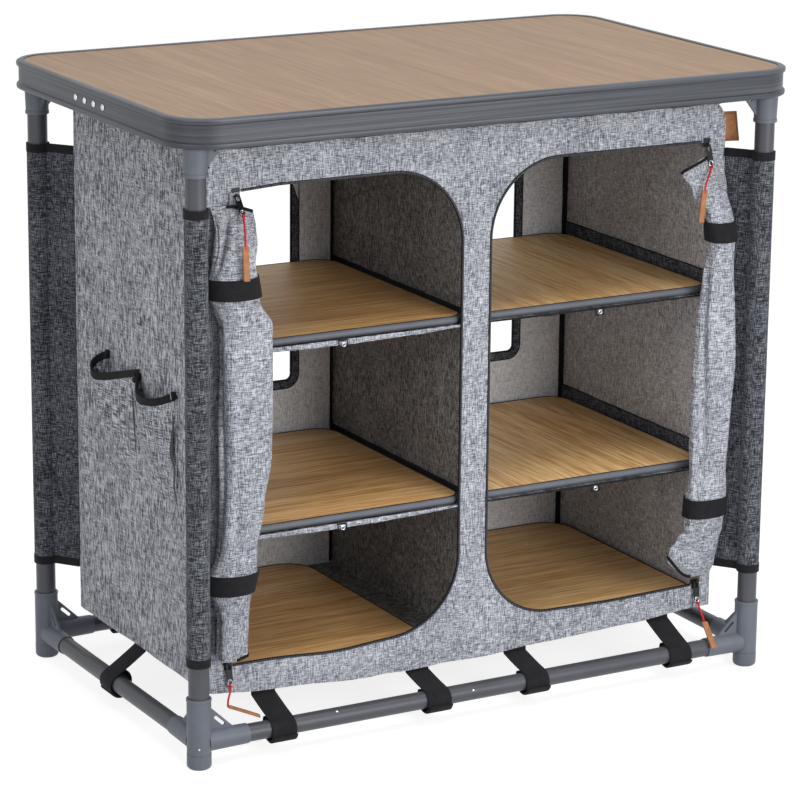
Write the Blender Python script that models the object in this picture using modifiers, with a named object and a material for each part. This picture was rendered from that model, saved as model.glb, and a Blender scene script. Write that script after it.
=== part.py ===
"""Folding camping kitchen cupboard: a jointed tube frame, a rimmed table top and a zipped fabric cupboard.

Metres, +Z up. The origin lies on the floor at the centre of the footprint. +X runs along the long side and
the doors face -Y.
"""

import math

import bmesh
import bpy
from mathutils import Matrix, Vector

# Overall sizes
TABLE_LENGTH = 0.890
TABLE_DEPTH = 0.540
TABLE_HEIGHT = 0.820
TABLE_CORNER_RADIUS = 0.058
LEG_INSET = 0.034

# Gaps
SEAT_GAP = 0.0003
TUBE_CLEARANCE = 0.0003
CUT_OVERRUN = 0.004
WELD_DISTANCE = 0.000001
SCREW_MERGE = 0.0001

# Tubes
LEG_RADIUS = 0.0130
RAIL_RADIUS = 0.0115
TUBE_WALL = 0.0012
RAIL_HEIGHT = 0.0340

# Corner connectors and feet
CONNECTOR_RADIUS = 0.0155
CONNECTOR_TOP = 0.0920
CONNECTOR_BORE_FLOOR = 0.0520
CONNECTOR_LIP_DROP = 0.0030
CONNECTOR_LIP_RISE = 0.0006
SOCKET_ROOT_RADIUS = 0.0138
SOCKET_END_RADIUS = 0.0128
SOCKET_REACH = 0.0660
SOCKET_BORE_START = 0.0190
FIN_THICKNESS = 0.0030
FIN_TOP = 0.0770
FIN_REACH = 0.0480
FIN_EMBED = 0.0008
FIN_SLOT_LENGTH = 0.0190
FIN_SLOT_WIDTH = 0.0042
FIN_SLOT_INSET = 0.0058
FOOT_HEIGHT = 0.0195
FOOT_RADIUS = 0.0157
FOOT_EDGE_RADIUS = 0.0050
FOOT_SPIGOT_RADIUS = 0.0100
FOOT_SPIGOT_HEIGHT = 0.0050

# Sockets under the table top
TOP_SOCKET_DROP = 0.0730
TOP_SOCKET_RING_HEIGHT = 0.0040
TOP_SOCKET_RING_RADIUS = 0.0156
TOP_SOCKET_LOWER_RADIUS = 0.0149
TOP_SOCKET_UPPER_RADIUS = 0.0168
TOP_SOCKET_ROOF = 0.0030
TOP_FLANGE_SIZE = 0.0560
TOP_FLANGE_THICKNESS = 0.0040
TOP_FLANGE_CORNER = 0.0060
TOP_FIN_DROP = 0.0640
TOP_FIN_REACH = 0.0520

# Table top
RIM_HEIGHT = 0.0370
RIM_WALL = 0.0030
RIM_BEAD_RISE = 0.0030
RIM_BEAD_HEIGHT = 0.0080
RIM_LIP_WIDTH = 0.0100
RIM_LIP_THICKNESS = 0.0018
RIM_LIP_EASE = 0.0008
RIM_GROOVE = 0.0120
BOARD_REBATE = 0.0008
RIM_LEDGE_WIDTH = 0.0160
RIM_LEDGE_THICKNESS = 0.0020
CORNER_STEPS = 6
BEAD_STEPS = 4
SPLICE_LENGTH = 0.1080
SPLICE_THICKNESS = 0.0020
SPLICE_HEIGHT = 0.0170
RIVET_PITCH = 0.0270
RIVET_COUNT = 4
RIVET_SHANK_RADIUS = 0.0020
RIVET_HEAD_RADIUS = 0.0042
RIVET_HEAD_HEIGHT = 0.0018
RIVET_DROP = 0.0190

# Fabric cupboard
CABINET_END_INSET = 0.0320
CABINET_SIDE_INSET = 0.0430
CABINET_TOP_DROP = 0.0500
CABINET_BOTTOM = 0.0780
FABRIC = 0.0020
FRONT_SAG = 0.0165
FRONT_SAG_SKEW_SHARE = 0.35
SAG_STEPS = 12
DIVIDER_X = 0.0040
DIVIDER_THICKNESS = 0.0030
FLOOR_PANEL_Z = 0.0830
ROOF_DROP = 0.0040

# Door openings
DOOR_TOP_INSET = 0.0530
DOOR_BOTTOM_INSET = 0.0330
DOOR_TOP_OUTER_INSETS = (0.0340, 0.0210)
DOOR_BOTTOM_OUTER_INSETS = (0.0210, 0.0160)
DOOR_DROOPS = (0.0040, 0.0)
DOOR_DROOP_REACH = 0.0700
DOOR_OUTER_RADIUS = 0.0025
DOOR_INNER_RADIUS = 0.0980
POST_HALF_WIDTH = 0.0220
POST_X = 0.0040

# Rear windows
WINDOW_BOTTOM = 0.3560
WINDOW_TOP_INSET = 0.0700
WINDOW_INNER = 0.0610
WINDOW_OUTER_INSET = 0.0850
WINDOW_RADIUS = 0.0180

# Sleeves round the legs
SLEEVE_TOP_DROP = 0.1120
SLEEVE_BOTTOM = 0.1340
SLEEVE_WALL = 0.0016
SLEEVE_WING = 0.0024

# Shelves, their slings and the floor boards
SHELF_TOPS = (0.5230, 0.2840)
SHELF_THICKNESS = 0.0100
SHELF_FLAT = 0.0016
SHELF_INSET = 0.0055
SHELF_END_GAP = 0.0030
SHELF_FRONT_CORNER = 0.0260
SHELF_REAR_CORNER = 0.0360
SLING_THICKNESS = 0.0016
SLING_SAG = 0.0070
SLING_OUTER_RISE = 0.0140
SLING_INNER_RISE = 0.0045
SLING_NOTCH_WIDTH = 0.0130
SLING_NOTCH_DEPTH = 0.0200
SLING_STEPS = 12
FLOOR_BOARD_THICKNESS = 0.0100
FLOOR_BOARD_FLAT = 0.0040
FLOOR_BOARD_INNER = 0.0450
FLOOR_BOARD_INSET = 0.0030
FLOOR_BOARD_REAR_CORNER = 0.0450

# Webbing loops round the bottom rails
LOOP_WIDTH = 0.0340
LOOP_THICKNESS = 0.0016
LOOP_INNER_X = 0.0740
LOOP_OUTER_INSET = 0.0810
LOOP_SIDE_Y = 0.0140
LOOP_SETBACK = 0.0018
LOOP_DROP = 0.0045
LOOP_STEPS = 14

# Rolled doors
ROLL_BOTTOM_INSET = 0.0140
ROLL_TOP_INSET = 0.0200
ROLL_OVERHANG = 0.0070
ROLL_WIDTH = 0.0920
ROLL_PULL_IN = 0.0100
ROLL_DEPTH = 0.0440
ROLL_BACK_GAP = 0.0005
ROLL_FOLD = 0.0030
ROLL_FOLD_COUNT = 5
ROLL_FOLD_TWIST = 3.0
ROLL_POINTS = 24
TIE_WIDTH = 0.0310
TIE_RISE = 0.0014
TIE_TOP_INSET = 0.0945
TIE_BOTTOM_INSET = 0.1020

# Side pocket
POCKET_REAR = 0.1000
POCKET_FRONT = -0.1170
POCKET_SEAM_Y = -0.0080
POCKET_TOP = 0.4520
POCKET_DIP = 0.0300
POCKET_BOTTOM = 0.3040
POCKET_BULGE_TOP = 0.0320
POCKET_BULGE_BOTTOM = 0.0160
POCKET_WALL = 0.0018
POCKET_STEPS = 12

# Zip sliders, pulls and tabs
SLIDER_LENGTH = 0.0100
SLIDER_PLATE = 0.0014
SLIDER_OVERLAP = 0.0060
SLIDER_NOSE = 0.0060
SLIDER_CORNER_INSET = 0.0080
CROWN_WIDTH = 0.0030
CROWN_HOLE = 0.0013
CROWN_WALL = 0.0010
CROWN_STEPS = 12
PULL_THICKNESS = 0.0014
PULL_WIDTH = 0.0080
PULL_LENGTH = 0.0265
PULL_WINDOW_WIDTH = 0.0050
PULL_WINDOW_LENGTH = 0.0070
PULL_EYE_RADIUS = 0.0017
PULL_EYE_INSET = 0.0036
PULL_CORNER_SHARE = 0.7
CORD_RADIUS = 0.0013
CORD_START_GAP = 0.0024
TAB_LENGTH = 0.0420
TAB_WIDTH = 0.0080
TAB_THICKNESS = 0.0026
TAB_EDGE = 0.0006

# Places worked out from the sizes above
TUBE_X = TABLE_LENGTH / 2 - LEG_INSET
TUBE_Y = TABLE_DEPTH / 2 - LEG_INSET
CABINET_HALF_LENGTH = TUBE_X - CABINET_END_INSET
CABINET_HALF_DEPTH = TUBE_Y - CABINET_SIDE_INSET
CABINET_TOP = TABLE_HEIGHT - CABINET_TOP_DROP
FABRIC_INNER_X = CABINET_HALF_LENGTH - FABRIC
FABRIC_INNER_Y = CABINET_HALF_DEPTH - FABRIC
RIM_INNER = RIM_BEAD_RISE + RIM_WALL
BOARD_INSET = RIM_INNER + SEAT_GAP
BOARD_TOP = TABLE_HEIGHT - RIM_LIP_THICKNESS - SEAT_GAP
BOARD_BOTTOM = TABLE_HEIGHT - RIM_LIP_THICKNESS - RIM_GROOVE + SEAT_GAP
LEDGE_BOTTOM = TABLE_HEIGHT - RIM_LIP_THICKNESS - RIM_GROOVE - RIM_LEDGE_THICKNESS
TOP_SOCKET_TOP = LEDGE_BOTTOM - SEAT_GAP
TOP_SOCKET_BOTTOM = TABLE_HEIGHT - TOP_SOCKET_DROP
TOP_FIN_BOTTOM = TABLE_HEIGHT - TOP_FIN_DROP
LEG_TOP = TOP_SOCKET_TOP - TOP_SOCKET_ROOF - SEAT_GAP
LEG_BOTTOM = CONNECTOR_BORE_FLOOR + SEAT_GAP
FLOOR_PANEL_TOP = FLOOR_PANEL_Z + FABRIC
ROOF_PANEL_TOP = CABINET_TOP - ROOF_DROP
ROOF_PANEL_BOTTOM = ROOF_PANEL_TOP - FABRIC
DOOR_TOP = CABINET_TOP - DOOR_TOP_INSET
DOOR_BOTTOM = CABINET_BOTTOM + DOOR_BOTTOM_INSET
WINDOW_TOP = CABINET_TOP - WINDOW_TOP_INSET
WINDOW_OUTER = CABINET_HALF_LENGTH - WINDOW_OUTER_INSET
SLEEVE_TOP = TABLE_HEIGHT - SLEEVE_TOP_DROP
LOOP_FRONT_X = (LOOP_INNER_X, CABINET_HALF_LENGTH - LOOP_OUTER_INSET)
ROLL_BOTTOM = DOOR_BOTTOM + ROLL_BOTTOM_INSET
ROLL_TOP = DOOR_TOP - ROLL_TOP_INSET
ROLL_OUTER = CABINET_HALF_LENGTH + ROLL_OVERHANG
TIE_HEIGHTS = (ROLL_TOP - TIE_TOP_INSET, ROLL_BOTTOM + TIE_BOTTOM_INSET)
CORNERS = {
    "front_left": (-1, -1),
    "front_right": (1, -1),
    "rear_left": (-1, 1),
    "rear_right": (1, 1),
}
QUARTER_TURNS = {"front_left": 0, "front_right": 1, "rear_right": 2, "rear_left": 3}

PARTS = "folding_camping_cupboard"
WORKBENCH = "construction"

# Colour, roughness and metallic value of each material
FINISHES = {
    "tube_paint": ((0.075, 0.078, 0.085), 0.45, 0.3),
    "connector_plastic": ((0.130, 0.150, 0.175), 0.50, 0.0),
    "rim_metal": ((0.125, 0.135, 0.150), 0.40, 0.5),
    "rivet_metal": ((0.700, 0.710, 0.720), 0.25, 1.0),
    "table_decor": ((0.430, 0.305, 0.205), 0.45, 0.0),
    "shelf_decor": ((0.330, 0.180, 0.080), 0.45, 0.0),
    "light_fabric": ((0.340, 0.360, 0.400), 0.90, 0.0),
    "dark_fabric": ((0.070, 0.080, 0.100), 0.90, 0.0),
    "black_webbing": ((0.014, 0.014, 0.018), 0.75, 0.0),
    "zip_metal": ((0.300, 0.300, 0.310), 0.35, 1.0),
    "red_cord": ((0.700, 0.010, 0.020), 0.60, 0.0),
}


def clear_scene():
    for obj in list(bpy.data.objects):
        bpy.data.objects.remove(obj, do_unlink=True)


def collection(name):
    group = bpy.data.collections.get(name)
    if group is None:
        group = bpy.data.collections.new(name)
        bpy.context.scene.collection.children.link(group)
    return group


def material(name):
    found = bpy.data.materials.get(name)
    if found:
        return found
    colour, roughness, metallic = FINISHES[name]
    made = bpy.data.materials.new(name)
    made.use_nodes = True
    shader = made.node_tree.nodes["Principled BSDF"]
    shader.inputs["Base Color"].default_value = (*colour, 1.0)
    shader.inputs["Roughness"].default_value = roughness
    shader.inputs["Metallic"].default_value = metallic
    made.diffuse_color = (*colour, 1.0)
    return made


def draft(data):
    """A helper object on the workbench, made from a mesh or a curve."""
    obj = bpy.data.objects.new("draft", data)
    collection(WORKBENCH).objects.link(obj)
    return obj


def baked(obj):
    """A mesh holding the object's evaluated shape in world space; the object itself is removed."""
    bpy.context.view_layer.update()
    graph = bpy.context.evaluated_depsgraph_get()
    mesh = bpy.data.meshes.new_from_object(obj.evaluated_get(graph))
    mesh.transform(obj.matrix_world)
    shape = bmesh.new()
    shape.from_mesh(mesh)
    bmesh.ops.remove_doubles(shape, verts=shape.verts, dist=WELD_DISTANCE)
    shape.to_mesh(mesh)
    shape.free()
    bpy.data.objects.remove(obj, do_unlink=True)
    return mesh


def combined(base, others, operation):
    """The base mesh with each other mesh joined to it (UNION) or cut from it (DIFFERENCE)."""
    body = draft(base)
    helpers = []
    for other in others:
        helper = draft(other)
        helper.hide_render = True
        helper.display_type = "WIRE"
        boolean = body.modifiers.new("shape", "BOOLEAN")
        boolean.operation = operation
        boolean.object = helper
        helpers.append(helper)
    mesh = baked(body)
    for helper in helpers:
        bpy.data.objects.remove(helper, do_unlink=True)
    return mesh


def united(base, *others):
    return combined(base, others, "UNION")


def cut(base, *others):
    return combined(base, others, "DIFFERENCE")


def place(name, mesh, finish, origin=(0, 0, 0), spin=0.0, parent=None):
    """Adds a finished piece, its mesh given relative to origin, turned about Z by spin."""
    obj = bpy.data.objects.new(name, mesh)
    collection(PARTS).objects.link(obj)
    mesh.materials.clear()
    mesh.materials.append(material(finish))
    mesh.shade_smooth()
    mesh.set_sharp_from_angle(angle=math.radians(35))
    obj.location = origin
    obj.rotation_euler = (0, 0, spin)
    obj.parent = parent
    return obj


def arc(centre, radius, start, end, steps):
    """Points along an arc in a plane, angles in degrees, both ends included."""
    points = []
    for i in range(steps + 1):
        angle = math.radians(start + (end - start) * i / steps)
        points.append((centre[0] + radius * math.cos(angle), centre[1] + radius * math.sin(angle)))
    return points


def circle(centre, radius, steps):
    return arc(centre, radius, 0, 360, steps)[:-1]


def rounded_box(left, right, low, high, radii, steps=CORNER_STEPS):
    """A rectangle with a radius for each corner: low left, low right, high right, high left."""
    corners = (
        (left, low, 1, 1, 180),
        (right, low, -1, 1, 270),
        (right, high, -1, -1, 0),
        (left, high, 1, -1, 90),
    )
    points = []
    for (x, y, toward_x, toward_y, start), radius in zip(corners, radii):
        centre = (x + toward_x * radius, y + toward_y * radius)
        points += arc(centre, radius, start, start + 90, steps)
    return points


PLANES = {
    "XY": Matrix.Identity(4),
    "XZ": Matrix(((1, 0, 0, 0), (0, 0, -1, 0), (0, 1, 0, 0), (0, 0, 0, 1))),
    "YZ": Matrix(((0, 0, 1, 0), (1, 0, 0, 0), (0, 1, 0, 0), (0, 0, 0, 1))),
}


def flat_curve(loops, edge=0.0):
    """A filled 2D curve; edge is the depth of a half-round edge that stays inside the outline."""
    curve = bpy.data.curves.new("outline", "CURVE")
    curve.dimensions = "2D"
    curve.fill_mode = "BOTH"
    curve.bevel_depth = edge
    curve.bevel_resolution = 2
    curve.offset = -edge
    for loop in loops:
        spline = curve.splines.new("POLY")
        spline.points.add(len(loop) - 1)
        for point, (x, y) in zip(spline.points, loop):
            point.co = (x, y, 0, 1)
        spline.use_cyclic_u = True
    return curve


def plate(loops, thickness, plane, centre, edge=0.0):
    """An extruded outline. centre is where the middle of its thickness lies along the plane's normal."""
    curve = flat_curve(loops, edge)
    curve.extrude = thickness / 2 - edge
    obj = draft(curve)
    normal = {"XY": (0, 0, 1), "XZ": (0, 1, 0), "YZ": (1, 0, 0)}[plane]
    obj.matrix_world = Matrix.Translation(Vector(normal) * centre) @ PLANES[plane]
    return baked(obj)


def turned(profile, steps, axis="Z", centre=(0, 0, 0)):
    """A revolved profile of (radius, height) points. It runs down the outer side."""
    mesh = bpy.data.meshes.new("profile")
    points = [(radius, 0, height) for radius, height in profile]
    edges = [(i, i + 1) for i in range(len(points) - 1)]
    mesh.from_pydata(points, edges, [])
    obj = draft(mesh)
    screw = obj.modifiers.new("revolve", "SCREW")
    screw.axis = "Z"
    screw.steps = steps
    screw.render_steps = steps
    screw.use_merge_vertices = True
    screw.merge_threshold = SCREW_MERGE
    turn = {
        "Z": Matrix.Identity(4),
        "X": Matrix.Rotation(math.radians(90), 4, "Y"),
        "Y": Matrix.Rotation(math.radians(-90), 4, "X"),
    }[axis]
    obj.matrix_world = Matrix.Translation(centre) @ turn
    return baked(obj)


def tube(points, radius, resolution=2):
    """A round solid rod along points."""
    curve = bpy.data.curves.new("rod", "CURVE")
    curve.dimensions = "3D"
    curve.bevel_depth = radius
    curve.bevel_resolution = resolution
    curve.use_fill_caps = True
    spline = curve.splines.new("POLY")
    spline.points.add(len(points) - 1)
    for point, place_ in zip(spline.points, points):
        point.co = (*place_, 1)
    return baked(draft(curve))


def block(size, centre, edge=0.0):
    """A box with its edges rounded by edge."""
    shape = bmesh.new()
    bmesh.ops.create_cube(shape, size=1)
    bmesh.ops.scale(shape, vec=size, verts=shape.verts)
    bmesh.ops.translate(shape, vec=centre, verts=shape.verts)
    mesh = bpy.data.meshes.new("block")
    shape.to_mesh(mesh)
    shape.free()
    if not edge:
        return mesh
    obj = draft(mesh)
    bevel = obj.modifiers.new("edge", "BEVEL")
    bevel.width = edge
    bevel.segments = 2
    return baked(obj)


def loft(rings):
    """A closed solid through rings of equal point count, listed from bottom to top, counterclockwise."""
    shape = bmesh.new()
    rows = [[shape.verts.new(point) for point in ring] for ring in rings]
    count = len(rows[0])
    for lower, upper in zip(rows, rows[1:]):
        for i in range(count):
            j = (i + 1) % count
            shape.faces.new((lower[i], lower[j], upper[j], upper[i]))
    shape.faces.new(list(reversed(rows[0])))
    shape.faces.new(rows[-1])
    mesh = bpy.data.meshes.new("loft")
    shape.to_mesh(mesh)
    shape.free()
    return mesh


# Frame tubes


def pipe(radius, start, end, axis, centre):
    """A tube with open ends between two places along its axis."""
    inner = radius - TUBE_WALL
    profile = ((inner, end), (radius, end), (radius, start), (inner, start), (inner, end))
    return turned(profile, 16, axis, centre)


def build_legs():
    for corner, (sx, sy) in CORNERS.items():
        mesh = pipe(LEG_RADIUS, LEG_BOTTOM, LEG_TOP, "Z", (0, 0, 0))
        place("leg_" + corner, mesh, "tube_paint", (sx * TUBE_X, sy * TUBE_Y, 0))


def build_rails():
    stop = SOCKET_BORE_START + SEAT_GAP
    half_x = TUBE_X - stop
    half_y = TUBE_Y - stop
    for name, side in (("rail_front", -1), ("rail_rear", 1)):
        mesh = pipe(RAIL_RADIUS, -half_x, half_x, "X", (0, 0, 0))
        place(name, mesh, "tube_paint", (0, side * TUBE_Y, RAIL_HEIGHT))
    for name, side in (("rail_left", -1), ("rail_right", 1)):
        mesh = pipe(RAIL_RADIUS, -half_y, half_y, "Y", (0, 0, 0))
        place(name, mesh, "tube_paint", (side * TUBE_X, 0, RAIL_HEIGHT))


# Corner connectors, drawn for the front left corner with the leg's axis as origin


def fin_loops(root, reach, base, tip):
    """A triangular web from the body to a branch, with a slot along its sloping edge."""
    slope = Vector((reach - root, base - tip))
    along = slope.normalized()
    inward = Vector((along.y, -along.x)) if tip > base else Vector((-along.y, along.x))
    middle = Vector(((root + reach) / 2, (tip + base) / 2)) + inward * FIN_SLOT_INSET
    half = along * (FIN_SLOT_LENGTH - FIN_SLOT_WIDTH) / 2
    heading = math.degrees(math.atan2(along.y, along.x))
    slot = arc(middle + half, FIN_SLOT_WIDTH / 2, heading - 90, heading + 90, CORNER_STEPS)
    slot += arc(middle - half, FIN_SLOT_WIDTH / 2, heading + 90, heading + 270, CORNER_STEPS)
    return slot


def connector_fin(plane):
    root = LEG_RADIUS + TUBE_CLEARANCE + FIN_EMBED
    top = CONNECTOR_RADIUS
    outline = (
        (root, RAIL_HEIGHT + SOCKET_END_RADIUS - FIN_EMBED),
        (FIN_REACH, RAIL_HEIGHT + SOCKET_END_RADIUS - FIN_EMBED),
        (top, FIN_TOP),
        (root, FIN_TOP),
    )
    slot = fin_loops(top, FIN_REACH, RAIL_HEIGHT + SOCKET_END_RADIUS, FIN_TOP)
    return plate((outline, slot), FIN_THICKNESS, plane, 0)


def branch(axis):
    """One tapered side socket, from the middle of the body to its mouth."""
    root = (SOCKET_ROOT_RADIUS, FOOT_SPIGOT_RADIUS)
    mouth = SOCKET_REACH
    profile = ((0, mouth), (SOCKET_END_RADIUS, mouth), root, (0, FOOT_SPIGOT_RADIUS))
    return turned(profile, 16, axis, (0, 0, RAIL_HEIGHT))


def branch_bore(axis):
    radius = RAIL_RADIUS + TUBE_CLEARANCE
    mouth = SOCKET_REACH + CUT_OVERRUN
    profile = ((0, mouth), (radius, mouth), (radius, SOCKET_BORE_START), (0, SOCKET_BORE_START))
    return turned(profile, 16, axis, (0, 0, RAIL_HEIGHT))


def connector_mesh():
    bore = LEG_RADIUS + TUBE_CLEARANCE
    bottom = FOOT_HEIGHT + SEAT_GAP
    recess = FOOT_SPIGOT_RADIUS + TUBE_CLEARANCE
    recess_top = bottom + FOOT_SPIGOT_HEIGHT
    lip = CONNECTOR_RADIUS + CONNECTOR_LIP_RISE
    profile = (
        (0, CONNECTOR_BORE_FLOOR),
        (bore, CONNECTOR_BORE_FLOOR),
        (bore, CONNECTOR_TOP),
        (CONNECTOR_RADIUS, CONNECTOR_TOP),
        (lip, CONNECTOR_TOP - CONNECTOR_LIP_RISE),
        (lip, CONNECTOR_TOP - CONNECTOR_LIP_DROP),
        (CONNECTOR_RADIUS, CONNECTOR_TOP - CONNECTOR_LIP_DROP - CONNECTOR_LIP_RISE),
        (CONNECTOR_RADIUS, bottom),
        (recess, bottom),
        (recess, recess_top),
        (0, recess_top),
    )
    body = turned(profile, 20)
    solid = united(body, branch("X"), branch("Y"), connector_fin("XZ"), connector_fin("YZ"))
    return cut(solid, branch_bore("X"), branch_bore("Y"))


def build_connectors():
    mesh = connector_mesh()
    for corner, (sx, sy) in CORNERS.items():
        turn = QUARTER_TURNS[corner] * math.pi / 2
        origin = (sx * TUBE_X, sy * TUBE_Y, 0)
        place("connector_" + corner, mesh, "connector_plastic", origin, turn)


def build_feet():
    spigot_top = FOOT_HEIGHT + FOOT_SPIGOT_HEIGHT
    edge_centre = (FOOT_RADIUS - FOOT_EDGE_RADIUS, FOOT_EDGE_RADIUS)
    profile = [
        (0, spigot_top),
        (FOOT_SPIGOT_RADIUS, spigot_top),
        (FOOT_SPIGOT_RADIUS, FOOT_HEIGHT),
        (FOOT_RADIUS, FOOT_HEIGHT),
    ]
    profile += arc(edge_centre, FOOT_EDGE_RADIUS, 0, -90, 4)
    profile.append((0, 0))
    mesh = turned(profile, 20)
    for corner, (sx, sy) in CORNERS.items():
        place("foot_" + corner, mesh, "connector_plastic", (sx * TUBE_X, sy * TUBE_Y, 0))


# Sockets under the table top, drawn for the front left corner with the leg's axis as origin


def top_fin(plane):
    root = LEG_RADIUS + TUBE_CLEARANCE + FIN_EMBED
    side = TOP_SOCKET_LOWER_RADIUS
    ceiling = TOP_SOCKET_TOP - FIN_EMBED
    outline = (
        (root, TOP_FIN_BOTTOM),
        (side, TOP_FIN_BOTTOM),
        (TOP_FIN_REACH, ceiling),
        (root, ceiling),
    )
    slot = fin_loops(side, TOP_FIN_REACH, ceiling, TOP_FIN_BOTTOM)
    return plate((outline, slot), FIN_THICKNESS, plane, 0)


def top_flange():
    """The pad that seats on the board's underside, inside the rim's ledge."""
    corner_radius = TABLE_CORNER_RADIUS - RIM_LEDGE_WIDTH - SEAT_GAP
    outer = LEG_INSET - RIM_LEDGE_WIDTH - SEAT_GAP
    inner = outer - TOP_FLANGE_SIZE
    outer_centre = -(LEG_INSET - RIM_LEDGE_WIDTH - SEAT_GAP) + corner_radius
    steps = CORNER_STEPS
    points = arc((outer_centre, outer_centre), corner_radius, 180, 270, steps)
    far = -inner
    small = TOP_FLANGE_CORNER
    points += arc((far - small, -outer + small), small, 270, 360, 2)
    points += arc((far - small, far - small), small, 0, 90, 2)
    points += arc((-outer + small, far - small), small, 90, 180, 2)
    top = BOARD_BOTTOM - SEAT_GAP
    return plate((points,), TOP_FLANGE_THICKNESS, "XY", top - TOP_FLANGE_THICKNESS / 2)


def top_socket_mesh():
    bore = LEG_RADIUS + TUBE_CLEARANCE
    ring_top = TOP_SOCKET_BOTTOM + TOP_SOCKET_RING_HEIGHT
    roof = TOP_SOCKET_TOP - TOP_SOCKET_ROOF
    profile = (
        (0, TOP_SOCKET_TOP),
        (TOP_SOCKET_UPPER_RADIUS, TOP_SOCKET_TOP),
        (TOP_SOCKET_LOWER_RADIUS, ring_top),
        (TOP_SOCKET_RING_RADIUS, ring_top),
        (TOP_SOCKET_RING_RADIUS, TOP_SOCKET_BOTTOM),
        (bore, TOP_SOCKET_BOTTOM),
        (bore, roof),
        (0, roof),
    )
    body = turned(profile, 20)
    return united(body, top_fin("XZ"), top_fin("YZ"), top_flange())


def build_top_sockets():
    mesh = top_socket_mesh()
    for corner, (sx, sy) in CORNERS.items():
        turn = QUARTER_TURNS[corner] * math.pi / 2
        origin = (sx * TUBE_X, sy * TUBE_Y, 0)
        place("top_socket_" + corner, mesh, "connector_plastic", origin, turn)


# Table top


def table_outline(inset):
    half_x = TABLE_LENGTH / 2 - inset
    half_y = TABLE_DEPTH / 2 - inset
    radius = TABLE_CORNER_RADIUS - inset
    return rounded_box(-half_x, half_x, -half_y, half_y, (radius,) * 4)


def build_board():
    """The board, its edge milled down by the rebate where the rim's lip covers it."""
    middle = (BOARD_TOP + BOARD_BOTTOM) / 2
    covered = plate((table_outline(BOARD_INSET),), BOARD_TOP - BOARD_BOTTOM, "XY", middle)
    height = BOARD_TOP + BOARD_REBATE - middle
    bare = plate((table_outline(RIM_LIP_WIDTH + SEAT_GAP),), height, "XY", middle + height / 2)
    place("table_board", united(covered, bare), "table_decor")


def bead(top):
    """A half-round bead standing out from the rim's wall, from its top edge down."""
    points = []
    for i in range(BEAD_STEPS + 1):
        angle = math.pi / 2 - math.pi * i / BEAD_STEPS
        out = -RIM_BEAD_RISE * (1 - math.cos(angle))
        points.append((out, top - RIM_BEAD_HEIGHT / 2 * (1 - math.sin(angle))))
    return points


def rim_section():
    """The extrusion's section: first value out from the rim's outermost face, second up from its top."""
    groove_bottom = -RIM_LIP_THICKNESS - RIM_GROOVE
    ledge_bottom = groove_bottom - RIM_LEDGE_THICKNESS
    section = [
        (-RIM_LIP_WIDTH, -RIM_LIP_THICKNESS),
        (-RIM_LIP_WIDTH, -RIM_LIP_EASE),
        (-RIM_LIP_WIDTH + RIM_LIP_EASE, 0),
    ]
    section += bead(0)
    section += bead(RIM_BEAD_HEIGHT - RIM_HEIGHT)
    section += [
        (-RIM_INNER, -RIM_HEIGHT),
        (-RIM_INNER, ledge_bottom),
        (-RIM_LEDGE_WIDTH, ledge_bottom),
        (-RIM_LEDGE_WIDTH, groove_bottom),
        (-RIM_INNER, groove_bottom),
        (-RIM_INNER, -RIM_LIP_THICKNESS),
    ]
    return section


def rivet_places():
    first = -RIVET_PITCH * (RIVET_COUNT - 1) / 2
    return [first + RIVET_PITCH * i for i in range(RIVET_COUNT)]


def build_rim():
    section = flat_curve(([(-out, up) for out, up in rim_section()],))
    section.fill_mode = "NONE"
    guide = draft(section)
    path = flat_curve((table_outline(0),))
    path.fill_mode = "NONE"
    path.bevel_mode = "OBJECT"
    path.bevel_object = guide
    ring = draft(path)
    ring.location.z = TABLE_HEIGHT
    mesh = baked(ring)
    bpy.data.objects.remove(guide, do_unlink=True)
    shape = bmesh.new()
    shape.from_mesh(mesh)
    bmesh.ops.recalc_face_normals(shape, faces=shape.faces)
    shape.to_mesh(mesh)
    shape.free()
    wall = -TABLE_LENGTH / 2
    radius = RIVET_SHANK_RADIUS + TUBE_CLEARANCE
    length = RIM_INNER + CUT_OVERRUN
    drills = []
    for y in rivet_places():
        profile = ((0, length), (radius, length), (radius, -CUT_OVERRUN), (0, -CUT_OVERRUN))
        drills.append(turned(profile, 12, "X", (wall, y, TABLE_HEIGHT - RIVET_DROP)))
    place("table_rim", cut(mesh, *drills), "rim_metal")


def build_splice():
    """The joining plate behind the rim's left side, with its four domed rivets."""
    wall = -TABLE_LENGTH / 2
    inner_face = wall + RIM_INNER + SEAT_GAP
    head_base = wall + RIM_BEAD_RISE - SEAT_GAP
    height = SPLICE_HEIGHT
    top = LEDGE_BOTTOM - SEAT_GAP
    centre = (inner_face + SPLICE_THICKNESS / 2, 0, top - height / 2)
    plate_mesh = block((SPLICE_THICKNESS, SPLICE_LENGTH, height), centre)
    dome = []
    for i in range(4):
        angle = math.pi / 2 * i / 3
        radius = RIVET_HEAD_RADIUS * math.sin(angle)
        dome.append((radius, -RIVET_HEAD_HEIGHT * math.cos(angle)))
    shank_end = RIM_WALL + SEAT_GAP + SEAT_GAP + SPLICE_THICKNESS / 2
    profile = [(0, shank_end), (RIVET_SHANK_RADIUS, shank_end), (RIVET_SHANK_RADIUS, 0)]
    profile += list(reversed(dome))
    rivets = []
    for y in rivet_places():
        rivets.append(turned(profile, 12, "X", (head_base, y, TABLE_HEIGHT - RIVET_DROP)))
    place("rim_splice", united(plate_mesh, *rivets), "rivet_metal")


# Fabric cupboard


def front_sag(x):
    """Height of the front panel's lower edge at x."""
    share = x / CABINET_HALF_LENGTH
    return CABINET_BOTTOM - FRONT_SAG * (1 - share**2) * (1 - FRONT_SAG_SKEW_SHARE * share)


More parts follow.
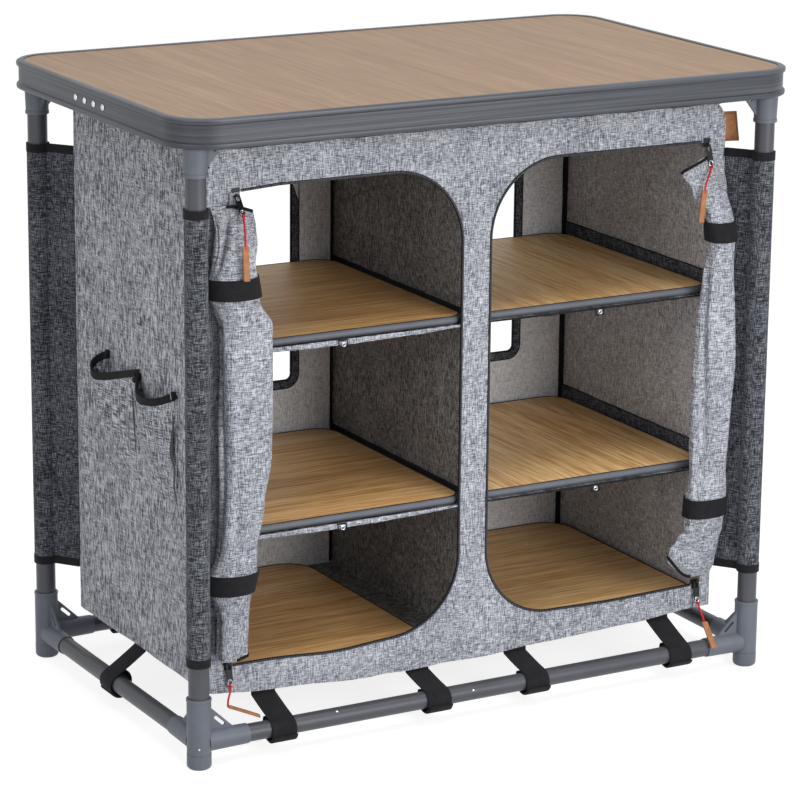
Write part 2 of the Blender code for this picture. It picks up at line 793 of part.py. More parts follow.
def sagging_outline():
    points = []
    for i in range(SAG_STEPS + 1):
        x = -CABINET_HALF_LENGTH + 2 * CABINET_HALF_LENGTH * i / SAG_STEPS
        points.append((x, front_sag(x)))
    points += [(CABINET_HALF_LENGTH, CABINET_TOP), (-CABINET_HALF_LENGTH, CABINET_TOP)]
    return points


def door_corners(side):
    """The outer corners of a door opening: distance from the middle and height, top one first."""
    index = (side + 1) // 2
    top = (CABINET_HALF_LENGTH - DOOR_TOP_OUTER_INSETS[index], DOOR_TOP - DOOR_DROOPS[index])
    return top, (CABINET_HALF_LENGTH - DOOR_BOTTOM_OUTER_INSETS[index], DOOR_BOTTOM)


def door_outline(side):
    """A D-shaped door opening, round at the post, with its hinge line between the two outer corners."""
    inner = side * POST_X + POST_HALF_WIDTH + DOOR_INNER_RADIUS
    big, small = DOOR_INNER_RADIUS, DOOR_OUTER_RADIUS
    (high_x, high_z), (low_x, low_z) = door_corners(side)
    points = arc((low_x - small, low_z + small), small, -90, 0, CORNER_STEPS)
    points += arc((high_x - small, high_z - small), small, 0, 90, CORNER_STEPS)
    points.append((high_x - DOOR_DROOP_REACH, DOOR_TOP))
    points += arc((inner, DOOR_TOP - big), big, 90, 180, CORNER_STEPS)
    points += arc((inner, DOOR_BOTTOM + big), big, 180, 270, CORNER_STEPS)
    return [(side * x, z) for x, z in points]


def window_outline(side):
    left, right = sorted((side * WINDOW_INNER, side * WINDOW_OUTER))
    return rounded_box(left, right, WINDOW_BOTTOM, WINDOW_TOP, (WINDOW_RADIUS,) * 4, 3)


def build_walls():
    middle_y = CABINET_HALF_DEPTH - FABRIC / 2
    middle_x = CABINET_HALF_LENGTH - FABRIC / 2
    loops = (sagging_outline(), door_outline(-1), door_outline(1))
    place("front_panel", plate(loops, FABRIC, "XZ", -middle_y), "light_fabric")
    loops = (sagging_outline(), window_outline(-1), window_outline(1))
    place("rear_panel", plate(loops, FABRIC, "XZ", middle_y), "light_fabric")
    half = FABRIC_INNER_Y - SEAT_GAP
    side = ((-half, CABINET_BOTTOM), (half, CABINET_BOTTOM), (half, CABINET_TOP), (-half, CABINET_TOP))
    place("left_panel", plate((side,), FABRIC, "YZ", -middle_x), "light_fabric")
    place("right_panel", plate((side,), FABRIC, "YZ", middle_x), "light_fabric")


def build_divider():
    half = FABRIC_INNER_Y - SEAT_GAP
    low = FLOOR_PANEL_TOP + SEAT_GAP
    high = ROOF_PANEL_BOTTOM - SEAT_GAP
    outline = ((-half, low), (half, low), (half, high), (-half, high))
    mesh = plate((outline,), DIVIDER_THICKNESS, "YZ", DIVIDER_X)
    place("divider", mesh, "dark_fabric")


def inner_rectangle():
    half_x = FABRIC_INNER_X - SEAT_GAP
    half_y = FABRIC_INNER_Y - SEAT_GAP
    return ((-half_x, -half_y), (half_x, -half_y), (half_x, half_y), (-half_x, half_y))


def loop_outline(strap_s, strap_top, exit_z, rail_s):
    """A webbing loop in a plane across its rail: down from the floor, out and round the rail.

    The first value runs outward from the cupboard's middle, the second up.
    """
    hub = Vector((rail_s, RAIL_HEIGHT))
    inner = RAIL_RADIUS + SEAT_GAP
    outer = inner + LOOP_THICKNESS
    bend = Vector((strap_s + LOOP_THICKNESS / 2, exit_z))
    to_bend = bend - hub
    heading = math.atan2(to_bend.y, to_bend.x)
    tangent = heading - math.acos(outer / to_bend.length)
    lower = tangent + math.acos(inner / outer)
    start = math.degrees(tangent)
    end = math.degrees(lower) - 360
    ring = arc(hub, outer, start, end, LOOP_STEPS)
    normal = Vector((math.cos(tangent), math.sin(tangent)))
    under_bend = bend - normal * LOOP_THICKNESS
    left = strap_s - LOOP_THICKNESS / 2
    right = strap_s + LOOP_THICKNESS / 2
    slope = (ring[0][1] - bend.y) / (ring[0][0] - bend.x)
    under_z = under_bend.y + slope * (left - under_bend.x)
    outline = [(right, strap_top), (right, exit_z)] + ring + [(left, under_z), (left, strap_top)]
    return outline, circle(hub, inner, LOOP_STEPS)


def webbing_loops():
    """Solids of all ten loops, each reaching up into the floor panel."""
    top = FLOOR_PANEL_Z + FABRIC / 2
    setback = LOOP_SETBACK + LOOP_THICKNESS / 2
    solids = []
    for side in (-1, 1):
        for half in (-1, 1):
            for distance in LOOP_FRONT_X:
                x = half * distance
                low = min(front_sag(x - LOOP_WIDTH / 2), front_sag(x + LOOP_WIDTH / 2)) - LOOP_DROP
                loops = loop_outline(FABRIC_INNER_Y - setback, top, low, TUBE_Y)
                loops = [[(side * s, z) for s, z in loop] for loop in loops]
                solids.append(plate(loops, LOOP_WIDTH, "YZ", x))
        low = CABINET_BOTTOM - LOOP_DROP
        loops = loop_outline(FABRIC_INNER_X - setback, top, low, TUBE_X)
        loops = [[(side * s, z) for s, z in loop] for loop in loops]
        solids.append(plate(loops, LOOP_WIDTH, "XZ", LOOP_SIDE_Y))
    return solids


def build_floor_and_roof():
    floor = plate((inner_rectangle(),), FABRIC, "XY", FLOOR_PANEL_Z + FABRIC / 2)
    place("bottom_panel", united(floor, *webbing_loops()), "black_webbing")
    roof = plate((inner_rectangle(),), FABRIC, "XY", ROOF_PANEL_TOP - FABRIC / 2)
    place("top_panel", roof, "dark_fabric")


def build_sleeves():
    """Each sleeve is a ring round its leg with a wing that reaches to the cupboard's corner."""
    inner = LEG_RADIUS + TUBE_CLEARANCE
    outer = inner + SLEEVE_WALL
    half = SLEEVE_WING / 2
    height = SLEEVE_TOP - SLEEVE_BOTTOM
    middle = (SLEEVE_TOP + SLEEVE_BOTTOM) / 2
    for corner, (sx, sy) in CORNERS.items():
        reach = Vector((sx * (CABINET_HALF_LENGTH - TUBE_X), sy * (CABINET_HALF_DEPTH - TUBE_Y)))
        heading = math.degrees(math.atan2(reach.y, reach.x))
        along = reach.normalized()
        across = Vector((-along.y, along.x))
        opening = math.degrees(math.asin(half / outer))
        ring = arc((0, 0), outer, heading + opening, heading + 360 - opening, 20)
        end = along * (reach.length - SEAT_GAP)
        outline = ring + [tuple(end - across * half), tuple(end + across * half)]
        mesh = plate((outline, circle((0, 0), inner, 20)), height, "XY", middle)
        place("sleeve_" + corner, mesh, "dark_fabric", (sx * TUBE_X, sy * TUBE_Y, 0))


# Shelves


def bay(side):
    """The clear width of one half of the cupboard: from the divider to the side panel."""
    near = DIVIDER_X + side * (DIVIDER_THICKNESS / 2 + SEAT_GAP)
    far = side * (FABRIC_INNER_X - SEAT_GAP)
    return near, far


def build_shelf(name, side, top):
    near, far = bay(side)
    left, right = sorted((near + side * SHELF_INSET, far - side * SHELF_INSET))
    half = FABRIC_INNER_Y - SHELF_END_GAP
    edge = (SHELF_THICKNESS - SHELF_FLAT) / 2
    front, rear = SHELF_FRONT_CORNER, SHELF_REAR_CORNER
    outline = rounded_box(left, right, -half, half, (front, front, rear, rear), 5)
    mesh = plate((outline,), SHELF_THICKNESS, "XY", top - SHELF_THICKNESS / 2, edge)
    place("shelf_" + name, mesh, "shelf_decor")


def sling_outline(side, top):
    """Section of a sling: it climbs the divider and the side panel and sags between them."""
    near, far = bay(side)
    step = side * SLING_THICKNESS
    inner_top = top + SLING_INNER_RISE
    outer_top = top + SLING_OUTER_RISE
    floor = top - SHELF_THICKNESS - SEAT_GAP
    upper = []
    lower = []
    for i in range(SLING_STEPS + 1):
        share = i / SLING_STEPS
        drop = 4 * SLING_SAG * share * (1 - share)
        x = near + step + (far - near - 2 * step) * share
        upper.append((x, floor - drop))
        x = near + (far - near) * share
        lower.append((x, floor - drop - SLING_THICKNESS))
    points = [(near, inner_top), (near + step, inner_top)] + upper
    points += [(far - step, outer_top), (far, outer_top)] + list(reversed(lower))
    return points


def build_sling(name, side, top):
    near, far = bay(side)
    half = FABRIC_INNER_Y - SEAT_GAP
    mesh = plate((sling_outline(side, top),), 2 * half, "XZ", 0)
    depth = SLING_NOTCH_DEPTH + CUT_OVERRUN
    tall = SLING_SAG + 2 * SLING_THICKNESS + 2 * SEAT_GAP
    floor = top - SHELF_THICKNESS - SLING_SAG - SLING_THICKNESS
    centre = ((near + far) / 2, -half + SLING_NOTCH_DEPTH - depth / 2, floor)
    notch = block((SLING_NOTCH_WIDTH, depth, tall * 2), centre)
    place("sling_" + name, cut(mesh, notch), "light_fabric")


def build_floor_board(name, side):
    far = FABRIC_INNER_X - FLOOR_BOARD_INSET
    left, right = sorted((side * FLOOR_BOARD_INNER, side * far))
    half = FABRIC_INNER_Y - FLOOR_BOARD_INSET
    bottom = FLOOR_PANEL_TOP + SEAT_GAP
    edge = (FLOOR_BOARD_THICKNESS - FLOOR_BOARD_FLAT) / 2
    front, rear = SHELF_FRONT_CORNER, FLOOR_BOARD_REAR_CORNER
    outline = rounded_box(left, right, -half, half, (front, front, rear, rear), 5)
    middle = bottom + FLOOR_BOARD_THICKNESS / 2
    mesh = plate((outline,), FLOOR_BOARD_THICKNESS, "XY", middle, edge)
    place("bottom_board_" + name, mesh, "shelf_decor")


def build_shelves():
    for word, side in (("left", -1), ("right", 1)):
        for level, top in zip(("upper", "lower"), SHELF_TOPS):
            build_shelf(level + "_" + word, side, top)
            build_sling(level + "_" + word, side, top)
        build_floor_board(word, side)


# Rolled doors

# Height, width, depth and pull-in of the roll at each station, as shares of its full sizes. The pull-in moves
# the outer side towards the cupboard's middle, clear of the sleeve's wing where the roll is thin.
LEFT_ROLL_SHARES = (
    (0.00, 0.62, 0.72, 0.10),
    (0.03, 0.63, 0.78, 0.00),
    (0.10, 0.64, 0.80, 0.00),
    (0.24, 0.76, 0.90, 0.00),
    (0.34, 0.88, 1.00, 0.00),
    (0.46, 0.98, 1.00, 0.00),
    (0.62, 1.00, 1.00, 0.00),
    (0.74, 1.00, 0.98, 0.00),
    (0.80, 0.78, 0.94, 0.00),
    (0.87, 0.72, 0.96, 0.00),
    (0.92, 0.76, 0.80, 0.20),
    (0.955, 0.72, 0.55, 0.60),
    (0.98, 0.68, 0.36, 0.90),
    (1.00, 0.50, 0.18, 1.00),
)
RIGHT_ROLL_SHARES = (
    (0.00, 0.81, 0.30, 1.00),
    (0.03, 0.87, 0.52, 0.60),
    (0.08, 0.81, 0.66, 0.15),
    (0.12, 0.70, 0.76, 0.00),
    (0.24, 0.68, 0.88, 0.00),
    (0.34, 0.70, 0.94, 0.00),
    (0.48, 0.68, 0.96, 0.00),
    (0.62, 0.64, 0.94, 0.00),
    (0.74, 0.57, 0.92, 0.00),
    (0.79, 0.51, 0.90, 0.00),
    (0.87, 0.50, 0.74, 0.10),
    (0.91, 0.66, 0.52, 0.60),
    (0.965, 0.77, 0.30, 1.00),
    (1.00, 0.45, 0.16, 1.10),
)
ROLL_FLAT_SHARE = 0.80


def read_stations(stations, share):
    """Width, depth and pull-in shares at a height share, on straight lines between the stations."""
    for (low, *below), (high, *above) in zip(stations, stations[1:]):
        if share <= high:
            part = (share - low) / (high - low)
            return [a + (b - a) * part for a, b in zip(below, above)]
    return stations[-1][1:]


def roll_ring(side, stations, z, tie):
    """One horizontal section of the rolled door, with soft folds unless the tie holds it."""
    share = (z - ROLL_BOTTOM) / (ROLL_TOP - ROLL_BOTTOM)
    width_share, depth_share, pull_share = read_stations(stations, share)
    width = ROLL_WIDTH * width_share
    depth = ROLL_DEPTH * depth_share
    centre_x = ROLL_OUTER - ROLL_PULL_IN * pull_share - width / 2
    centre_y = -CABINET_HALF_DEPTH - ROLL_BACK_GAP - depth / 2
    points = []
    for i in range(ROLL_POINTS):
        angle = 2 * math.pi * i / ROLL_POINTS
        cos, sin = math.cos(angle), math.sin(angle)
        fold = ROLL_FOLD * depth_share * math.sin(ROLL_FOLD_COUNT * angle + ROLL_FOLD_TWIST * share)
        inset = 0 if tie else min(0, fold) - TIE_RISE
        x = abs(cos) ** ROLL_FLAT_SHARE * math.copysign(width / 2 + inset, cos)
        y = abs(sin) ** ROLL_FLAT_SHARE * math.copysign(depth / 2 + inset, sin)
        points.append((side * (centre_x + x), centre_y + y, z))
    return points if side > 0 else list(reversed(points))


def build_roll(name, side, stations):
    """A loft through the sections; its two tie bands stand a little proud of the fabric."""
    levels = []
    height = ROLL_TOP - ROLL_BOTTOM
    for share, *_ in stations:
        z = ROLL_BOTTOM + height * share
        if all(abs(z - tie) > TIE_WIDTH for tie in TIE_HEIGHTS):
            levels.append((z, False))
    for tie in TIE_HEIGHTS:
        low = tie - TIE_WIDTH / 2
        high = tie + TIE_WIDTH / 2
        levels += [(low, False), (low + TIE_RISE, True), (high - TIE_RISE, True), (high, False)]
    rings = [roll_ring(side, stations, z, tie) for z, tie in sorted(levels)]
    place("door_roll_" + name, loft(rings), "light_fabric")


def build_rolls():
    build_roll("left", -1, LEFT_ROLL_SHARES)
    build_roll("right", 1, RIGHT_ROLL_SHARES)


# Side pocket


def pocket_ring(z_of, bulge):
    """A plan outline of both pocket bags, as a closed ring running along the panel and back."""
    wall = -CABINET_HALF_LENGTH - SEAT_GAP
    points = []
    for start, end in ((POCKET_FRONT, POCKET_SEAM_Y), (POCKET_SEAM_Y, POCKET_REAR)):
        for i in range(POCKET_STEPS + 1):
            share = i / POCKET_STEPS
            y = start + (end - start) * share
            out = POCKET_WALL * 2 + bulge * math.sin(math.pi * share)
            points.append((wall - out, y, z_of(share)))
    ends = [(wall, POCKET_REAR, z_of(0)), (wall, POCKET_FRONT, z_of(0))]
    return points + ends


def pocket_cavity(start, end):
    """The inside of one bag, as a cutter that runs out above it."""
    wall = -CABINET_HALF_LENGTH - SEAT_GAP - POCKET_WALL
    rings = []
    for z, bulge in ((POCKET_BOTTOM + POCKET_WALL, POCKET_BULGE_BOTTOM), (POCKET_TOP, POCKET_BULGE_TOP)):
        ring = []
        for i in range(POCKET_STEPS + 1):
            share = i / POCKET_STEPS
            y = start + POCKET_WALL + (end - start - 2 * POCKET_WALL) * share
            out = POCKET_WALL / 4 + (bulge - POCKET_WALL / 4) * math.sin(math.pi * share)
            ring.append((wall - out, y, z))
        ring += [(wall, end - POCKET_WALL, z), (wall, start + POCKET_WALL, z)]
        rings.append(ring)
    above = [(x, y, z + CUT_OVERRUN) for x, y, z in rings[-1]]
    return loft([list(reversed(ring)) for ring in rings + [above]])


def build_pocket():
    low = pocket_ring(lambda share: POCKET_BOTTOM, POCKET_BULGE_BOTTOM)
    high = pocket_ring(lambda share: POCKET_TOP - POCKET_DIP * math.sin(math.pi * share), POCKET_BULGE_TOP)
    body = loft([list(reversed(ring)) for ring in (low, high)])
    bags = ((POCKET_FRONT, POCKET_SEAM_Y), (POCKET_SEAM_Y, POCKET_REAR))
    cavities = [pocket_cavity(start, end) for start, end in bags]
    place("side_pocket", cut(body, *cavities), "light_fabric")


# Zips

# Side of the cupboard, end of the door's hinge line, angle of the pull at rest, way points of the cord from the
# pull's eye to the tab, both ends of the tab, and the direction that its flat side faces. Cord and tab are given
# from the pull's hinge point.
ZIPS = {
    "top_left": {
        "side": -1,
        "top": True,
        "tilt": 40.0,
        "cord": ((-0.0020, -0.0250, -0.0325), (-0.0048, -0.0325, -0.0410), (-0.0070, -0.0375, -0.0480)),
        "tab": ((-0.0080, -0.0397, -0.0540), (-0.0090, -0.0453, -0.0960)),
        "face": (0, 1, 0),
    },
    "top_right": {
        "side": 1,
        "top": True,
        "tilt": 20.0,
        "cord": ((-0.0042, -0.0134, -0.0316), (-0.0131, -0.0200, -0.0416), (-0.0161, -0.0208, -0.0496)),
        "tab": ((-0.0171, -0.0211, -0.0546), (-0.0221, -0.0223, -0.0961)),
        "face": (0, 1, 0),
    },
    "bottom_left": {
        "side": -1,
        "top": False,
        "tilt": 8.0,
        "cord": ((-0.0030, -0.0095, -0.0340), (-0.0090, -0.0165, -0.0410), (-0.0120, -0.0215, -0.0450)),
        "tab": ((-0.0130, -0.0245, -0.0470), (0.0235, -0.0365, -0.0615)),
        "face": (0, 0, 1),
    },
    "bottom_right": {
        "side": 1,
        "top": False,
        "tilt": 8.0,
        "cord": ((0.0000, -0.0105, -0.0345), (-0.0007, -0.0175, -0.0418), (-0.0015, -0.0225, -0.0465)),
        "tab": ((-0.0020, -0.0255, -0.0492), (-0.0080, -0.0590, -0.0750)),
        "face": (0, 0, 1),
    },
}


def slider_place(zip_):
    """Distance along X, height of the zip's edge, and the side of that edge on which the panel lies."""
    top, bottom = door_corners(zip_["side"])
    x, z = top if zip_["top"] else bottom
    return zip_["side"] * (x - SLIDER_CORNER_INSET), z, 1 if zip_["top"] else -1


def hinge_point(zip_):
    """The axis of the pull, at the middle of the crown's hole."""
    front = -CABINET_HALF_DEPTH - SEAT_GAP - SLIDER_PLATE
    y = front - CROWN_HOLE - CROWN_WALL / 2
    x, edge, up = slider_place(zip_)
    return Vector((x, y, edge - up * SLIDER_NOSE / 2))


def slider_mesh(zip_):
    """The slider grips both faces of the panel's edge; its crown holds the pull."""
    x, edge, up = slider_place(zip_)
    front = -CABINET_HALF_DEPTH - SEAT_GAP
    rear = -FABRIC_INNER_Y + SEAT_GAP
    outline = (
        (front - SLIDER_PLATE, edge - up * SLIDER_NOSE),
        (rear + SLIDER_PLATE, edge - up * SLIDER_NOSE),
        (rear + SLIDER_PLATE, edge + up * SLIDER_OVERLAP),
        (rear, edge + up * SLIDER_OVERLAP),
        (rear, edge - up * SEAT_GAP),
        (front, edge - up * SEAT_GAP),
        (front, edge + up * SLIDER_OVERLAP),
        (front - SLIDER_PLATE, edge + up * SLIDER_OVERLAP),
    )
    body = plate((outline,), SLIDER_LENGTH, "YZ", x)
    hub = hinge_point(zip_)
    centre = (hub.y, hub.z)
    ring = (circle(centre, CROWN_HOLE + CROWN_WALL, CROWN_STEPS), circle(centre, CROWN_HOLE, CROWN_STEPS))
    crown = plate(ring, CROWN_WIDTH, "YZ", x)
    return united(body, crown)


def pull_mesh():
    """The pull hanging straight down from its axis: a plate with a window for the crown and an eye."""
    half = PULL_WIDTH / 2
    bar = PULL_THICKNESS / 2
    corner = half * PULL_CORNER_SHARE
    outline = rounded_box(-half, half, -PULL_LENGTH, bar, (corner, corner, bar, bar), 4)
    window_half = PULL_WINDOW_WIDTH / 2
    window = rounded_box(-window_half, window_half, -bar - PULL_WINDOW_LENGTH, -bar, (bar,) * 4, 2)
    eye = circle((0, -PULL_LENGTH + PULL_EYE_INSET), PULL_EYE_RADIUS, CROWN_STEPS)
    return plate((outline, window, eye), PULL_THICKNESS, "XZ", 0)


def tab_mesh(start, end, face):
    """A leather tab from start towards end, its flat side facing along face."""
    along = (end - start).normalized()
    across = Vector(face).cross(along).normalized()
    normal = along.cross(across)
    mesh = block((TAB_WIDTH, TAB_THICKNESS, TAB_LENGTH), (0, 0, TAB_LENGTH / 2), TAB_EDGE)
    turn = Matrix((across, normal, along)).transposed().to_4x4()
    mesh.transform(Matrix.Translation(start) @ turn)
    return mesh


def build_zip(name, zip_):
    place("zip_slider_" + name, slider_mesh(zip_), "zip_metal")
    hinge = hinge_point(zip_)
    axis = bpy.data.objects.new("axis_zip_pull_" + name, None)
    axis.location = hinge
    collection(PARTS).objects.link(axis)
    tilt = math.radians(zip_["tilt"])
    pull = place("zip_pull_" + name, pull_mesh(), "zip_metal", parent=axis)
    pull.rotation_euler = (-tilt, 0, 0)
    eye = hinge + Vector((0, -math.sin(tilt), -math.cos(tilt))) * (PULL_LENGTH + CORD_RADIUS / 2)
    start, end = (hinge + Vector(point) for point in zip_["tab"])
    root = start + (end - start).normalized() * CORD_START_GAP
    cord = tube([eye, *(hinge + Vector(point) for point in zip_["cord"]), start, root], CORD_RADIUS, 1)
    solid = united(tab_mesh(start, end, zip_["face"]), cord)
    solid.transform(Matrix.Translation(-hinge))
    place("zip_cord_" + name, solid, "red_cord", parent=axis)


def build():
    clear_scene()
    build_legs()
    build_rails()
    build_connectors()
    build_feet()
    build_top_sockets()
    build_board()
    build_rim()
    build_splice()
    build_walls()
    build_divider()
    build_floor_and_roof()
    build_sleeves()
    build_shelves()
    build_rolls()
    build_pocket()
    for name, zip_ in ZIPS.items():
        build_zip(name, zip_)


build()
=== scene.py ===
"""Looks of the folding camping kitchen cupboard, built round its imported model. Metres, +Z up."""

import math

import bmesh
import bpy
from mathutils import Matrix, Vector, noise


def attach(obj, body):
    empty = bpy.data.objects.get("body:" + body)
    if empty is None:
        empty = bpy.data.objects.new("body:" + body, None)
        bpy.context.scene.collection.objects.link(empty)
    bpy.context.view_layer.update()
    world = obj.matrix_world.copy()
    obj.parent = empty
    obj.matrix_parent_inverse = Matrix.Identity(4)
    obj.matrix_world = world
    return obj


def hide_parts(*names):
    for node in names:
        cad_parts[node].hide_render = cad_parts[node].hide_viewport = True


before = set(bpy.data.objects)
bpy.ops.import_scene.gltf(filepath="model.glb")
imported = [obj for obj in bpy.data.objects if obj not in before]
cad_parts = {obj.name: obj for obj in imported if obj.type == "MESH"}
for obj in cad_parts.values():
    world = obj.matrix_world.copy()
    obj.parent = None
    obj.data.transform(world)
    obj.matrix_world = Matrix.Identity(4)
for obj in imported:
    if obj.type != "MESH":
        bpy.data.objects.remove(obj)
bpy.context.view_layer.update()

# Camera, as fitted to the photograph
CAMERA_PLACE = (-2.1012, -3.7313, 1.5235)
CAMERA_YAW = 0.5135
CAMERA_PITCH = 0.2641
CAMERA_ROLL = 0.0102
CAMERA_LENS = 149.86

# Sizes shared with the CAD
TUBE_X = 0.411
TUBE_Y = 0.236
HALF_X = 0.379
HALF_Y = 0.193
CLOTH = 0.002
CABINET_TOP = 0.77
CABINET_BOTTOM = 0.078
DIVIDER_X = 0.004
DOOR_TOP = 0.717
DOOR_BOTTOM = 0.111
DOOR_CORNERS = {-1: ((0.345, 0.713), (0.358, 0.111)), 1: ((0.358, 0.717), (0.363, 0.111))}
DOOR_REACH = 0.07
DOOR_RADIUS = 0.098
POST_HALF = 0.022
SHELF_TOPS = {"upper": 0.523, "lower": 0.284}
FLOOR_TOP = 0.0953

# Sizes of the cloth as it is drawn: the middle of the walls, and how thick their sheets are
WALL_X = HALF_X - CLOTH / 2
WALL_Y = HALF_Y - CLOTH / 2
WALL_THICK = 0.0016
SHEET_THICK = 0.0012
STEP = 0.012

X, Y, Z = (1, 0, 0), (0, 1, 0), (0, 0, 1)
SIDES = ((-1, "left"), (1, "right"))
ENDS = ((-1, "front"), (1, "rear"))


def grown(value, start, run):
    """How far value has come from start along run, kept within 0 and 1."""
    return min(1.0, max(0.0, (value - start) / run))


def faded(steepness, *places):
    """1 in the middle of a sheet, falling to 0 at its edges."""
    return min(1.0, steepness * min(min(p, 1 - p) for p in places))


def bell(value, centre, width):
    return math.exp(-(((value - centre) / width) ** 2))


def hump(share):
    """Half a wave: 0 at both ends of a share and 1 in its middle."""
    return math.sin(math.pi * share)


def shares(count):
    return [i / (count - 1) for i in range(count)]


def turns(count):
    return [2 * math.pi * i / count for i in range(count)]


# Materials


def feed(tree, node, inputs):
    """Links or sets inputs of a node."""
    for key, value in inputs.items():
        if isinstance(value, bpy.types.NodeSocket):
            tree.links.new(value, node.inputs[key])
        else:
            node.inputs[key].default_value = value
    return node


def node_of(tree, kind, inputs=None, **settings):
    made = tree.nodes.new(kind)
    for key, value in settings.items():
        setattr(made, key, value)
    return feed(tree, made, inputs or {})


def blank_material(name, roughness, metallic=0.0):
    made = bpy.data.materials.new(name)
    made.use_nodes = True
    tree = made.node_tree
    feed(tree, tree.nodes["Principled BSDF"], {"Roughness": roughness, "Metallic": metallic})
    return made, tree


def finished(made, colour, relief, more=None):
    """Sets a material's shader. relief is a height with its strength and distance."""
    tree = made.node_tree
    bump = dict(zip(("Height", "Strength", "Distance"), relief))
    normal = node_of(tree, "ShaderNodeBump", bump).outputs["Normal"]
    inputs = {"Base Color": colour, "Normal": normal, **(more or {})}
    feed(tree, tree.nodes["Principled BSDF"], inputs)
    return made


def rgb(red, green, blue):
    """A colour given as the eight-bit values seen on a screen."""
    out = []
    for value in (red, green, blue):
        share = value / 255
        out.append(share / 12.92 if share <= 0.04045 else ((share + 0.055) / 1.055) ** 2.4)
    return (*out, 1.0)


def shade(colour, factor):
    return (*(min(1.0, c * factor) for c in colour[:3]), 1.0)


def streaks(tree, scale, detail=1.0, roughness=0.5, distortion=0.0):
    """Noise in the object's own coordinates, scaled by one number or by one for each axis."""
    scale = scale if isinstance(scale, tuple) else (scale,) * 3
    place = node_of(tree, "ShaderNodeTexCoord").outputs["Object"]
    mapping = node_of(tree, "ShaderNodeMapping", {"Vector": place, "Scale": scale})
    inputs = {
        "Vector": mapping.outputs["Vector"],
        "Scale": 1.0,
        "Detail": detail,
        "Roughness": roughness,
        "Distortion": distortion,
    }
    return node_of(tree, "ShaderNodeTexNoise", inputs).outputs["Fac"]


def ramp(tree, factor, *stops):
    made = node_of(tree, "ShaderNodeValToRGB", {"Fac": factor})
    elements = made.color_ramp.elements
    while len(elements) < len(stops):
        elements.new(0.5)
    for element, (place, colour) in zip(elements, stops):
        element.position = place
        element.color = colour
    return made.outputs["Color"]


def maths(tree, operation, a, b):
    return node_of(tree, "ShaderNodeMath", {0: a, 1: b}, operation=operation).outputs[0]


def blend(tree, first, *others, base=None):
    """The weighted sum of factors, with base added."""
    total = maths(tree, "MULTIPLY", *first)
    for factor, weight in others:
        total = maths(tree, "ADD", total, maths(tree, "MULTIPLY", factor, weight))
    return total if base is None else maths(tree, "ADD", total, base)


def melange(name, tones, upright=0.5, spread=0.1, faces=(1.0, 0.25), thread=1650.0, length=120.0):
    """Plain-woven cloth of flecked yarn: fine upright and level threads of changing tone that cross.

    faces scales the pattern along X and Y, so that a cloth that swells a little keeps straight threads.
    """
    made, tree = blank_material(name, 0.92)
    x, y = faces
    half = thread * 0.5
    up = streaks(tree, (thread * x, thread * y, length))
    across = streaks(tree, (length * x, length * y, thread))
    slub = streaks(tree, (half * x, half * y, half))
    cloud = maths(tree, "SUBTRACT", streaks(tree, 16.0, 2.0), 0.5)
    yarn = blend(tree, (up, upright), (across, 1 - upright))
    yarn = blend(tree, (yarn, 0.9), (slub, 0.1), (cloud, 0.08))
    places = (0.5 - spread, 0.5, 0.5 + spread)
    colour = ramp(tree, yarn, *zip(places, (rgb(*tone) for tone in tones)))
    more = {"Specular IOR Level": 0.2, "Sheen Weight": 0.08, "Sheen Roughness": 0.6}
    return finished(made, colour, (yarn, 0.6, 0.0008), more)


def webbing(name, colour, lift, rib=1500.0):
    """Narrow woven tape with fine ribs."""
    made, tree = blank_material(name, 0.85)
    fine = streaks(tree, rib)
    broad = streaks(tree, 90.0, 2.0, 0.6)
    value = blend(tree, (fine, 0.6), (broad, 0.4))
    tone = ramp(tree, value, (0.35, colour), (0.68, lift))
    more = {"Specular IOR Level": 0.25, "Sheen Weight": 0.03}
    return finished(made, tone, (fine, 0.5, 0.0005), more)


def moulded(name, colour, roughness=0.5, grain=0.15, metallic=0.0):
    """Moulded or painted surface with a faint orange peel and slightly uneven gloss."""
    made, tree = blank_material(name, roughness, metallic)
    broad = streaks(tree, 22.0, 3.0, 0.6)
    fine = streaks(tree, 1400.0)
    tone = ramp(tree, broad, (0.3, shade(colour, 0.9)), (0.7, shade(colour, 1.12)))
    rough = blend(tree, (broad, 0.16), base=roughness - 0.08)
    return finished(made, tone, (fine, grain, 0.0003), {"Roughness": rough})


def extrusion(name, colour):
    """Coated aluminium with faint drawing lines round the frame."""
    made, tree = blank_material(name, 0.42, 0.15)
    lines = streaks(tree, (3.0, 3.0, 420.0), 1.0, 0.6)
    tone = ramp(tree, lines, (0.32, shade(colour, 0.55)), (0.68, shade(colour, 1.3)))
    return finished(made, tone, (lines, 0.25, 0.0004))


def wood_decor(name, along, tones):
    """Printed oak decor: long flat grain along one axis, fine pores and a few pale bands."""
    made, tree = blank_material(name, 0.42)
    dark, middle, light, pale = (rgb(*tone) for tone in tones)

    def grain(across, down, *more):
        return streaks(tree, (*((down, across) if along == "X" else (across, down)), 40.0), *more)

    flame = grain(44.0, 2.2, 3.0, 0.55, 1.0)
    fibre = grain(300.0, 7.0, 2.0, 0.65, 0.3)
    pores = grain(560.0, 24.0, 1.0, 0.6)
    bands = grain(9.0, 0.8, 1.0, 0.5, 0.5)
    value = blend(tree, (flame, 0.28), (fibre, 0.42), (pores, 0.3))
    colour = ramp(tree, value, (0.4, dark), (0.5, middle), (0.6, light))
    band = ramp(tree, bands, (0.62, (0, 0, 0, 1)), (0.7, (0.5, 0.5, 0.5, 1)))
    mix = node_of(tree, "ShaderNodeMix", data_type="RGBA")
    colour = feed(tree, mix, {0: band, 6: colour, 7: pale}).outputs[2]
    rough = blend(tree, (pores, 0.2), base=0.42)
    return finished(made, colour, (pores, 0.12, 0.0003), {"Roughness": rough})


